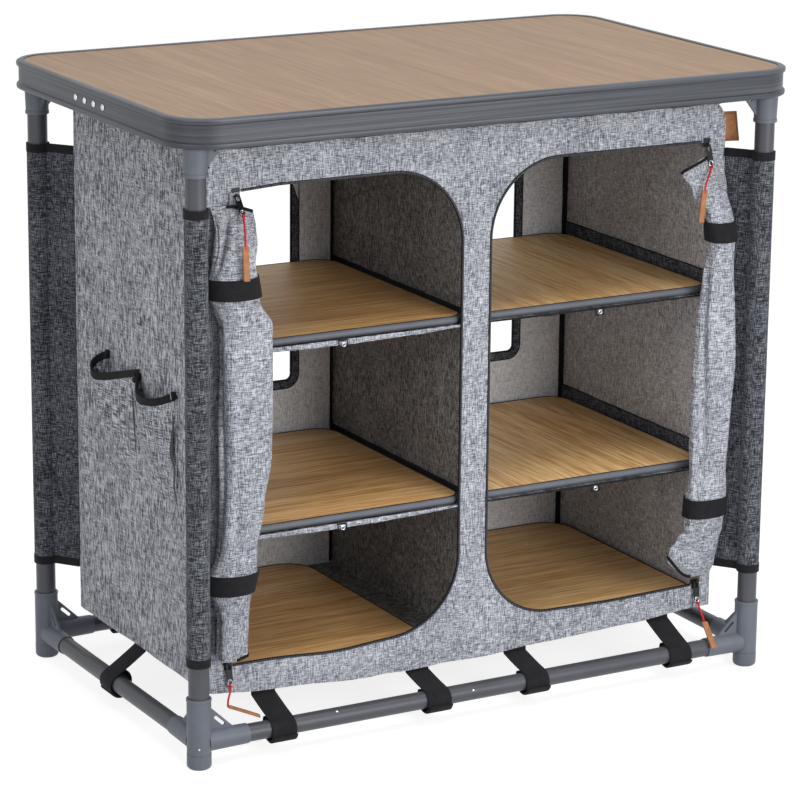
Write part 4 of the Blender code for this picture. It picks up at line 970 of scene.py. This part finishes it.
def roll_point(side, z, angle, extra=0.0, folds=1.0):
    """A point on the rolled door and its outward direction in plan."""
    share = grown(z, ROLL_LOW, ROLL_HIGHS[side] - ROLL_LOW)
    width_share, depth_share, pull = station(side, share)
    width, depth = ROLL_WIDTH * width_share, ROLL_DEPTH * depth_share
    centre = Vector((0.386 - 0.01 * pull - width / 2, -HALF_Y - 0.0005 - depth / 2))
    cos, sin = math.cos(angle), math.sin(angle)
    above = z > TIE_HEIGHTS[0]
    tie = min(abs(z - t) for t in TIE_HEIGHTS)
    loose = grown(tie, TIE_WIDTH / 2, 0.035)
    cinch = math.exp(-max(0.0, tie - TIE_WIDTH / 2) / 0.022)
    long_fold = ripple((cos * 1.6, sin * 1.6, z * 7), (1, 1, 1), (side * 4, 2, 5))
    fine_fold = ripple((cos * 4.5, sin * 4.5, z * 16), (1, 1, 1), (side * 3, 7, 1))
    twist = side * (150.0 if above else 22.0) * (z - TIE_HEIGHTS[0])
    pleat = math.sin(9 * angle + twist + 1.2 * fine_fold) * cinch
    spiral = math.sin(5 * angle + side * 90.0 * z) if above and side > 0 else 0.0
    inset = 0.0034 * loose * (0.5 + 0.5 * math.tanh(3.5 * long_fold))
    inset += 0.0014 * loose * (1.0 + fine_fold + 0.5 * spiral)
    if tie > TIE_WIDTH / 2:
        inset += 0.0015 * (0.5 + 0.5 * pleat)
    inset = extra - 0.0014 - folds * depth_share * inset
    head = grown(z, 0.612, 0.05) * grown(z, 0.7, -0.03)
    turn = (angle + math.pi) % (2 * math.pi) - math.pi
    for middle, spread, fold_depth in FOLDS[side](z):
        inset -= folds * fold_depth * bell(turn, middle, spread) * (head if above else loose)
    flap, foot = grown(share, 0.83, 0.08), grown(share, 0.13, -0.1)
    if side > 0:
        power = 0.82 + 0.9 * max(flap, foot)
        inward = max(0.0, -cos)
        z += 0.026 * foot * inward**3 - 0.0105 * grown(share, 0.93, 0.07) * inward
    else:
        power = 1.17 if cos > 0 else 0.82
    x = abs(cos) ** power * math.copysign(max(0.001, width / 2 + inset), cos)
    y = abs(sin) ** power * math.copysign(max(0.001, depth / 2 + inset), sin)
    outward = Vector((cos * depth, sin * width)).normalized()
    return Vector((side * (centre.x + x), centre.y + y, z)), Vector((side * outward.x, outward.y, 0))


def add_roll(side, word):
    low, high = ROLL_LOW, ROLL_HIGHS[side]
    rings = [
        [roll_point(side, low + (high - low) * share, angle)[0] for angle in turns(96)]
        for share in shares(151)
    ]
    replaced = ["door_roll_" + word]
    made = piece("door_cloth_" + word, tube_mesh(rings), ROLL_CLOTH, replaces=replaced)
    for height, level in zip(TIE_HEIGHTS, ("upper", "lower")):

        def band(u, v, height=height):
            z = height - TIE_WIDTH / 2 + TIE_WIDTH * v
            angle = 2 * math.pi * u
            point, normal = roll_point(side, z, angle, 0.0012, 0.0)
            point.z = z + 0.0012 * math.sin(angle)
            return point, normal

        piece(f"door_tie_{word}_{level}", cloth_mesh(band, 96, 6, 0.0014, True), BLACK_TAPE)


def add_roll_tapes():
    """The black zip tape along the loose top and bottom corners of the rolled doors."""
    for word, side, start, end, first, last in (
        ("left_top", -1, 0.698, 0.69, 0.05, 0.5),
        ("right_top", 1, 0.7045, 0.6845, 0.5, 0.99),
        ("right_bottom", 1, 0.1265, 0.133, 0.45, 0.99),
        ("left_bottom", -1, 0.1265, 0.13, 0.08, 0.45),
    ):
        path, ups = [], []
        for share in shares(25):
            z = start + (end - start) * (share if side > 0 else 1 - share) ** 2
            turn = first + (last - first) * share
            angle = -math.pi * turn if side > 0 else math.pi * (turn - 1)
            point, normal = roll_point(side, z, angle, 0.0006)
            path.append(point)
            ups.append(normal)
        strip("door_tape_" + word, path, oblong(0.0042, 0.0018), ups, ZIP_TAPE)


def add_webs():
    """The door cloth between its hinge line, the slider and the head of the roll."""
    for side, word in SIDES:
        high_x, high_z = DOOR_CORNERS[side][0]

        def surface(u, v, side=side, high_x=high_x, high_z=high_z):
            reach = (0.013 if side < 0 else 0.006) + 0.008 * (1 - v)
            x = high_x + 0.001 - reach * u
            z = 0.68 + (high_z + 0.0006 - 0.68) * v
            belly = (1 - v) * 0.008 * hump(0.15 + 0.7 * u)
            return (side * x, -HALF_Y - 0.0006 - belly - 0.001 * u, z), (0, -1, 0)

        piece("door_web_" + word, cloth_mesh(surface, 12, 16, SHEET_THICK), LIGHT_CLOTH)


# Side pocket

POCKET_WALL = -0.3802
POCKET_FOOT = 0.304
POCKET_MOUTHS = {
    "rear": (
        (-0.3798, 0.09, 0.456),
        (-0.386, 0.0955, 0.4535),
        (-0.397, 0.0962, 0.4475),
        (-0.4035, 0.0915, 0.439),
        (-0.404, 0.081, 0.4335),
        (-0.3995, 0.066, 0.4345),
        (-0.392, 0.04, 0.4415),
        (-0.3845, 0.006, 0.451),
        (-0.3802, -0.008, 0.454),
    ),
    "front": (
        (-0.3802, -0.008, 0.453),
        (-0.385, -0.011, 0.447),
        (-0.3935, -0.024, 0.437),
        (-0.4005, -0.045, 0.432),
        (-0.4005, -0.064, 0.4325),
        (-0.3955, -0.082, 0.4355),
        (-0.388, -0.099, 0.442),
        (-0.3825, -0.1085, 0.448),
        (-0.3798, -0.115, 0.45),
    ),
}
POCKET_KNOTS = {
    "rear": ((-0.382, 0.088, 0.453), 0.0066),
    "middle": ((-0.3865, -0.0105, 0.444), 0.0098),
    "front": ((-0.3835, -0.1125, 0.444), 0.008),
}
# Y, Z and width of the dark strips of painted shadow in the gaps at the pocket's seams
POCKET_SHADOW_STRIPS = {
    "middle": ((0.006, 0.424, 0.001), (0.001, 0.385, 0.0018), (-0.005, 0.344, 0.0008)),
    "front": (
        (-0.119, 0.422, 0.001),
        (-0.112, 0.391, 0.007),
        (-0.11, 0.367, 0.0085),
        (-0.1185, 0.352, 0.004),
        (-0.117, 0.33, 0.0036),
        (-0.126, 0.306, 0.0012),
    ),
}


def on_line(line, share):
    """The point of a line that is nearest to a share of its count."""
    last = len(line) - 1
    return line[max(0, min(last, round(share * last)))]


def pocket_point(line, u, v):
    """A place on a bag: u runs along its mouth line and v from its foot to the mouth."""
    top = on_line(line, u)
    start, end = line[0].y, line[-1].y
    foot_y = start + (end - start) * u
    ease = v * v * (3 - 2 * v)
    y = foot_y + (top.y - foot_y) * ease
    z = POCKET_FOOT + (top.z - POCKET_FOOT) * v
    arch = hump(u)
    belly = 0.005 * arch * hump(min(1.0, v * 1.1)) ** 0.8
    crease = 0.0012 * ripple((0, y + 0.5 * z, z - 0.4 * y), (1, 42, 30), (6, 6, 6)) * arch
    crease *= hump(v)
    x = POCKET_WALL + (top.x - POCKET_WALL) * (0.25 * v + 0.75 * ease) - belly - crease
    return Vector((x, y, z))


def add_pocket():
    for word, mouth in POCKET_MOUTHS.items():
        line = smooth_line([Vector(p) for p in mouth], 6)

        def surface(u, v, line=line):
            a = pocket_point(line, min(1, u + 0.03), v) - pocket_point(line, max(0, u - 0.03), v)
            return pocket_point(line, u, v), Vector((a.y, -a.x, 0)).normalized()

        mesh = cloth_mesh(surface, len(line) - 1, 34, SHEET_THICK)
        replaced = ["side_pocket"] if word == "front" else []
        made = piece("pocket_cloth_" + word, mesh, POCKET_CLOTH, replaces=replaced)
        ups = [Vector((a.y, -a.x, 0)).normalized() for a in chords(line)]
        path = [p - Vector((0, 0, 0.0042)) for p in line]
        strip("pocket_binding_" + word, path, oblong(0.0098, 0.0034), ups, BLACK_TAPE)
    for word, ((x, y, z), size) in POCKET_KNOTS.items():
        path = [(x, y + 0.001 * i, z + 0.0022 * (2 - i)) for i in range(5)]
        strip("pocket_knot_" + word, path, oblong(size, size * 0.8, 0.45), X, BLACK_TAPE)
    path = [(-0.388, -0.111 - 0.001 * i, 0.452 - 0.0026 * i) for i in range(5)]
    strip("pocket_thread", path, round_section(0.0004, 6), X, PALE_THREAD)
    # Black strips of painted shadow in the gaps along the pocket's middle and front seams.
    for word, line in POCKET_SHADOW_STRIPS.items():
        run = smooth_line([Vector(p) for p in line], 8)

        def shadow_strip(u, v, run=run):
            y, z, width = on_line(run, v)
            return (-0.3858, y + width * (u - 0.5), z), (-1, 0, 0)

        piece("pocket_shadow_strip_" + word, cloth_mesh(shadow_strip, 2, len(run) - 1, 0.0006), BLACK_SEAM_AND_SHADE)


# Webbing loops

LOOP_RADIUS = 0.0126
LOOP_TURN = 322
LOOP_SLACK = 0.0036
LOOP_PLACES = {"a": -0.298, "b": -0.074, "c": 0.074, "d": 0.298}
RAIL_Z = 0.034


def polar(angle):
    return Vector((math.cos(angle), math.sin(angle)))


def loop_path(strap, low, rail):
    """Centre line of a loop in a plane across its rail: down behind the panel, out and once round."""
    hub = Vector((rail, RAIL_Z))
    start = [Vector((strap, 0.0832)), Vector((strap, 0.076)), Vector((strap + 0.0004, low))]
    to_bend = start[-1] - hub
    tangent = math.atan2(to_bend.y, to_bend.x) - math.acos(LOOP_RADIUS / to_bend.length)
    touch = hub + LOOP_RADIUS * polar(tangent)
    sag = []
    for share in shares(7)[1:-1]:
        fall = Vector((0, 0.0006 * hump(share)))
        sag.append(start[-1].lerp(touch, share) - fall)
    ring = []
    for share in shares(41):
        slack = LOOP_SLACK * hump(share) ** 2
        turn = tangent - math.radians(LOOP_TURN) * share
        ring.append(hub + (LOOP_RADIUS + slack) * polar(turn))
    tail = ring[-1] + (ring[-1] - ring[-2]).normalized() * 0.004
    return start + sag + ring + [tail], hub, tangent


def cover_path(hub, tangent, seed):
    """The closing layer of a loop, on the outside of its lower half, with its end curled off."""
    path = []
    for share in shares(29):
        turned = 96 + 190 * share
        slack = LOOP_SLACK * hump(turned / LOOP_TURN) ** 2
        curl = 0.0042 * max(0.0, share - 0.72) / 0.28
        lift = 0.0017 + curl + 0.0005 * math.sin(9 * share + seed)
        path.append(hub + (LOOP_RADIUS + slack + lift) * polar(tangent - math.radians(turned)))
    return path


def add_loop(name, place_of, strap, low, rail, across, seed):
    """A loop and its cover. place_of(point, shift) puts a point of their plane into the scene."""
    line, hub, tangent = loop_path(strap, low, rail)
    cover = cover_path(hub, tangent, seed)
    for part, points, shift, width in (("", line, 0.0, 0.034), ("_cover", cover, 0.0012, 0.0336)):
        path = [Vector(place_of(p, shift)) for p in points]
        ups = [Vector(across).cross(a.normalized()) for a in chords(path)]
        strip(name + part, path, oblong(width, 0.0014), ups, BLACK_TAPE)


def add_loops():
    for end, word in ENDS:
        for index, (letter, x) in enumerate(LOOP_PLACES.items()):
            low = min(front_sag(x - 0.017), front_sag(x + 0.017)) - 0.0045
            add_loop(
                f"loop_{word}_{letter}",
                lambda p, shift, x=x, end=end: (x + shift, end * p.x, p.y),
                HALF_Y - CLOTH - 0.0026, low, TUBE_Y, X, index,
            )
    for side, word in SIDES:
        add_loop(
            "loop_side_" + word,
            lambda p, shift, side=side: (side * p.x, 0.014 + shift, p.y),
            HALF_X - CLOTH - 0.0026, CABINET_BOTTOM - 0.0045, TUBE_X, Y, side,
        )


# Small trim


def add_label():
    """A bare leather tab sewn into the front right seam, a little wider at its foot."""

    def surface(u, v):
        x = HALF_X - 0.01 + (0.0335 - 0.006 * v) * u
        y = -HALF_Y + 0.0016 + 0.0016 * math.sin(3 * u) * (1 - v)
        return (x, y, 0.716 + 0.04 * v - 0.0012 * u), (0, -1, 0)

    piece("leather_label", cloth_mesh(surface, 16, 24, 0.0014), LEATHER)
    for word, start, end, up in (
        ("low", (0.1, 0.06), (0.9, 0.06), Z),
        ("high", (0.1, 0.94), (0.9, 0.94), Z),
        ("side", (0.93, 0.06), (0.93, 0.94), X),
    ):
        places = [Vector(start).lerp(Vector(end), share) for share in shares(13)]
        path = [Vector(surface(*place)[0]) + Vector((0, -0.0007, 0)) for place in places]
        strip("label_stitch_" + word, path, oblong(0.0008, 0.0005), up, BLACK_SEAM_AND_SHADE, slot="red_cord")


def add_corner_straps():
    """The strap of the front left top corner and a black strip of painted shadow along the front's top edge,
    under the table's rim.
    """
    start = Vector((-HALF_X + 0.004, -HALF_Y - 0.001, 0.769))
    end = Vector((-TUBE_X + 0.019, -TUBE_Y + 0.008, 0.754))
    path = []
    for share in shares(9):
        path.append(start.lerp(end, share) + Vector((0, 0, 0.003 * hump(share))))
    strip("corner_strap_front_left", path, oblong(0.006, 0.0012), Z, BLACK_TAPE)
    # A black strip just under the rim, standing for the rim's shadow on the front's top edge.
    left, length = -HALF_X + 0.002, 2 * HALF_X - 0.012
    path = [
        (left + length * i / 60, -HALF_Y - 0.0008, 0.7685 + 0.0004 * math.sin(i)) for i in range(61)
    ]
    strip("front_top_painted_shadow", path, oblong(0.003, 0.003), Z, BLACK_TAPE)


def add_rivets():
    """The rivet of the front left connector and the two small ones on the front rail."""
    for word, start, end, radius in (
        ("connector", (-0.4175, -0.2498, 0.0295), (-0.418, -0.251, 0.0295), 0.0014),
        ("rail_left", (-0.221, -0.2428, 0.0424), (-0.221, -0.2438, 0.0436), 0.0013),
        ("rail_middle", (-0.023, -0.2458, 0.0387), (-0.023, -0.2472, 0.0394), 0.0013),
    ):
        strip(word + "_rivet", [start, end], round_section(radius), X, RIVET)


# Zip pulls

ZIPS = {
    "top_left": {
        "hinge": (-0.337, -0.1965, 0.71),
        "tilt": 40.0,
        "cord": ((-0.339, -0.2215, 0.6775), (-0.3418, -0.229, 0.669), (-0.344, -0.234, 0.662)),
        "tab": ((-0.345, -0.2362, 0.656), (-0.346, -0.2418, 0.614)),
        "face": Y,
    },
    "top_right": {
        "hinge": (0.35, -0.1965, 0.714),
        "tilt": 20.0,
        "cord": ((0.3458, -0.2099, 0.6824), (0.3369, -0.2165, 0.6724), (0.3339, -0.2173, 0.6644)),
        "tab": ((0.3329, -0.2176, 0.6594), (0.3279, -0.2188, 0.6179)),
        "face": Y,
    },
    "bottom_left": {
        "hinge": (-0.35, -0.1965, 0.114),
        "tilt": 8.0,
        "cord": ((-0.353, -0.206, 0.08), (-0.359, -0.213, 0.073), (-0.362, -0.218, 0.069)),
        "tab": ((-0.363, -0.221, 0.067), (-0.3265, -0.233, 0.0525)),
        "face": Z,
    },
    "bottom_right": {
        "hinge": (0.355, -0.1965, 0.114),
        "tilt": 8.0,
        "cord": ((0.355, -0.207, 0.0795), (0.3543, -0.214, 0.0722), (0.3535, -0.219, 0.0675)),
        "tab": ((0.353, -0.222, 0.0648), (0.347, -0.2555, 0.039)),
        "face": Z,
    },
}
PULL_LENGTH = 0.0265
CORD_RADIUS = 0.0013
TAB_LENGTH = 0.0425
TAB_WIDTH = 0.0082


def add_zip(word, facts):
    body = "pull_" + word
    tilt = math.radians(facts["tilt"])
    down = Vector((0, -math.sin(tilt), -math.cos(tilt)))
    eye = Vector(facts["hinge"]) + down * (PULL_LENGTH + CORD_RADIUS / 2)
    start, end = (Vector(p) for p in facts["tab"])
    along = (end - start).normalized()
    root = start + along * 0.005
    path = smooth_line([eye, *(Vector(p) for p in facts["cord"]), start, root], 5)
    curve = bpy.data.curves.new("cord_line_" + word, "CURVE")
    curve.dimensions = "3D"
    curve.bevel_depth = CORD_RADIUS
    curve.bevel_resolution = 3
    curve.use_fill_caps = True
    spline = curve.splines.new("POLY")
    spline.points.add(len(path) - 1)
    for point, place in zip(spline.points, path):
        point.co = (*place, 1)
    curve.materials.append(RED_CORD)
    cord = add_object("cord_" + word, curve)
    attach(cord, body)
    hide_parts("zip_cord_" + word)
    across = Vector(facts["face"]).cross(along).normalized()
    normal = along.cross(across)

    def surface(u, v):
        place = start + along * (TAB_LENGTH * v) + across * (TAB_WIDTH * (u - 0.5))
        bow = 0.0007 * hump(v) + 0.0002 * math.cos(6 * v)
        return place + normal * bow, normal

    tab = piece("tab_" + word, cloth_mesh(surface, 8, 26, 0.0026), LEATHER, body=body)
    bevel = tab.modifiers.new("edge", "BEVEL")
    bevel.width = 0.0005
    bevel.segments = 2
    bevel.limit_method = "ANGLE"
    middle = eye + down * 0.0012
    bend = [
        middle + Vector((0.0014 * math.cos(t), 0.0008 * math.sin(2 * t), 0.0014 * math.sin(t)))
        for t in turns(18)
    ]
    thick, thin = round_section(0.0012, 8), round_section(0.0009, 8)
    knot = strip("knot_" + word, bend, thick, (0, 1, 0.2), RED_CORD, True, body=body)
    side = Vector(X)
    ring = ellipse(eye - down * 0.003, side * 0.003, down * 0.0036, 24)
    strip("pull_ring_" + word, ring, thin, side.cross(down), SILVER, True, body=body)


# Carried-over nodes

# The first start of a name that fits gives the finish
FINISHES = {
    "leg_": TUBE_PAINT,
    "rail_": TUBE_PAINT,
    "connector_": PLASTIC,
    "foot_": PLASTIC,
    "top_socket_": PLASTIC,
    "table_board": TABLE_WOOD,
    "table_rim": RIM_COAT,
    "rim_splice": RIVET,
    "shelf_upper_right": SHELF_WOOD_ACROSS,
    "shelf_lower_right": SHELF_WOOD_ACROSS,
    "shelf_": SHELF_WOOD,
    "bottom_board_right": SHELF_WOOD_RIGHT,
    "bottom_board_": SHELF_WOOD,
    "zip_slider_": BLACK_METAL,
    "zip_pull_": BLACK_METAL,
}


def dress_nodes():
    for name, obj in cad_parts.items():
        finish = next((FINISHES[start] for start in FINISHES if name.startswith(start)), None)
        if finish:
            obj.data.materials.clear()
            obj.data.materials.append(finish)
            obj.data.shade_smooth()
            obj.modifiers.new("weld", "WELD").merge_threshold = 0.00001
            obj.modifiers.new("crease", "EDGE_SPLIT").split_angle = math.radians(35)


# Studio


def add_camera():
    yaw, pitch, roll = CAMERA_YAW, CAMERA_PITCH, CAMERA_ROLL
    level = math.cos(pitch)
    forward = Vector((math.sin(yaw) * level, math.cos(yaw) * level, -math.sin(pitch)))
    right = Vector((math.cos(yaw), -math.sin(yaw), 0))
    up = right.cross(forward)
    turned_right = right * math.cos(roll) + up * math.sin(roll)
    turned_up = up * math.cos(roll) - right * math.sin(roll)
    data = bpy.data.cameras.new("camera")
    data.sensor_width = 36
    data.lens = CAMERA_LENS
    camera = add_object("camera", data)
    turn = Matrix((turned_right, turned_up, -forward)).transposed()
    camera.matrix_world = Matrix.Translation(CAMERA_PLACE) @ turn.to_4x4()
    bpy.context.scene.camera = camera


def add_lamp(name, place, target, size, power):
    data = bpy.data.lights.new(name, "AREA")
    data.shape = "RECTANGLE"
    data.size, data.size_y = size
    data.energy = power
    lamp = add_object(name, data)
    lamp.location = place
    lamp.rotation_mode = "QUATERNION"
    lamp.rotation_quaternion = (Vector(target) - Vector(place)).to_track_quat("-Z", "Y")


def split_output(tree, kind, lit, seen):
    """Ends a tree in an output that gives off one shader as light and shows another to the eye."""
    ray = node_of(tree, "ShaderNodeLightPath").outputs
    eye = maths(tree, "MAXIMUM", ray["Is Camera Ray"], ray["Is Glossy Ray"])
    eye = maths(tree, "MAXIMUM", eye, ray["Is Transmission Ray"])
    mix = node_of(tree, "ShaderNodeMixShader", {0: eye, 1: lit, 2: seen})
    node_of(tree, kind, {"Surface": mix.outputs[0]})


def grey(level):
    return (level, level, level, 1)


def add_studio():
    floor = bpy.data.meshes.new("floor")
    size = 14.0
    corners = [(-size, -size, 0), (size, -size, 0), (size, size, 0), (-size, size, 0)]
    floor.from_pydata(corners, [], [(0, 1, 2, 3)])
    add_object("floor", floor)
    finish = bpy.data.materials.new("floor")
    finish.use_nodes = True
    tree = finish.node_tree
    tree.nodes.clear()
    plain = node_of(tree, "ShaderNodeBsdfDiffuse", {"Color": grey(0.62)})
    glow = node_of(tree, "ShaderNodeEmission", {"Color": grey(1), "Strength": 0.82})
    half = node_of(tree, "ShaderNodeBsdfDiffuse", {"Color": grey(0.42)})
    both = node_of(tree, "ShaderNodeAddShader", {0: glow.outputs[0], 1: half.outputs[0]})
    split_output(tree, "ShaderNodeOutputMaterial", plain.outputs[0], both.outputs[0])
    floor.materials.append(finish)

    world = bpy.data.worlds.new("studio")
    world.use_nodes = True
    tree = world.node_tree
    tree.nodes.clear()
    ambient = node_of(tree, "ShaderNodeBackground", {"Color": grey(1), "Strength": 0.42})
    white = node_of(tree, "ShaderNodeBackground", {"Color": grey(1), "Strength": 1.0})
    split_output(tree, "ShaderNodeOutputWorld", ambient.outputs[0], white.outputs[0])
    bpy.context.scene.world = world

    add_lamp("key", (0.8, -3.5, 1.2), (0.05, 0, 0.4), (1.8, 1.8), 64)
    add_lamp("fill", (-3.2, -1.6, 1.6), (0, 0, 0.4), (2.0, 2.0), 19)
    add_lamp("top", (0.1, -0.7, 3.0), (0, 0, 0.6), (2.2, 1.6), 42)
    bpy.context.scene.view_settings.view_transform = "Standard"


add_camera()
add_studio()
dress_nodes()
for zip_word, zip_facts in ZIPS.items():
    add_zip(zip_word, zip_facts)
add_front()
add_rear()
add_sides()
add_seams()
add_inner_cloth()
add_zip_tapes()
add_sleeves()
add_shelves()
for roll_side, roll_word in SIDES:
    add_roll(roll_side, roll_word)
add_roll_tapes()
add_webs()
add_pocket()
add_loops()
add_label()
add_corner_straps()
add_rivets()
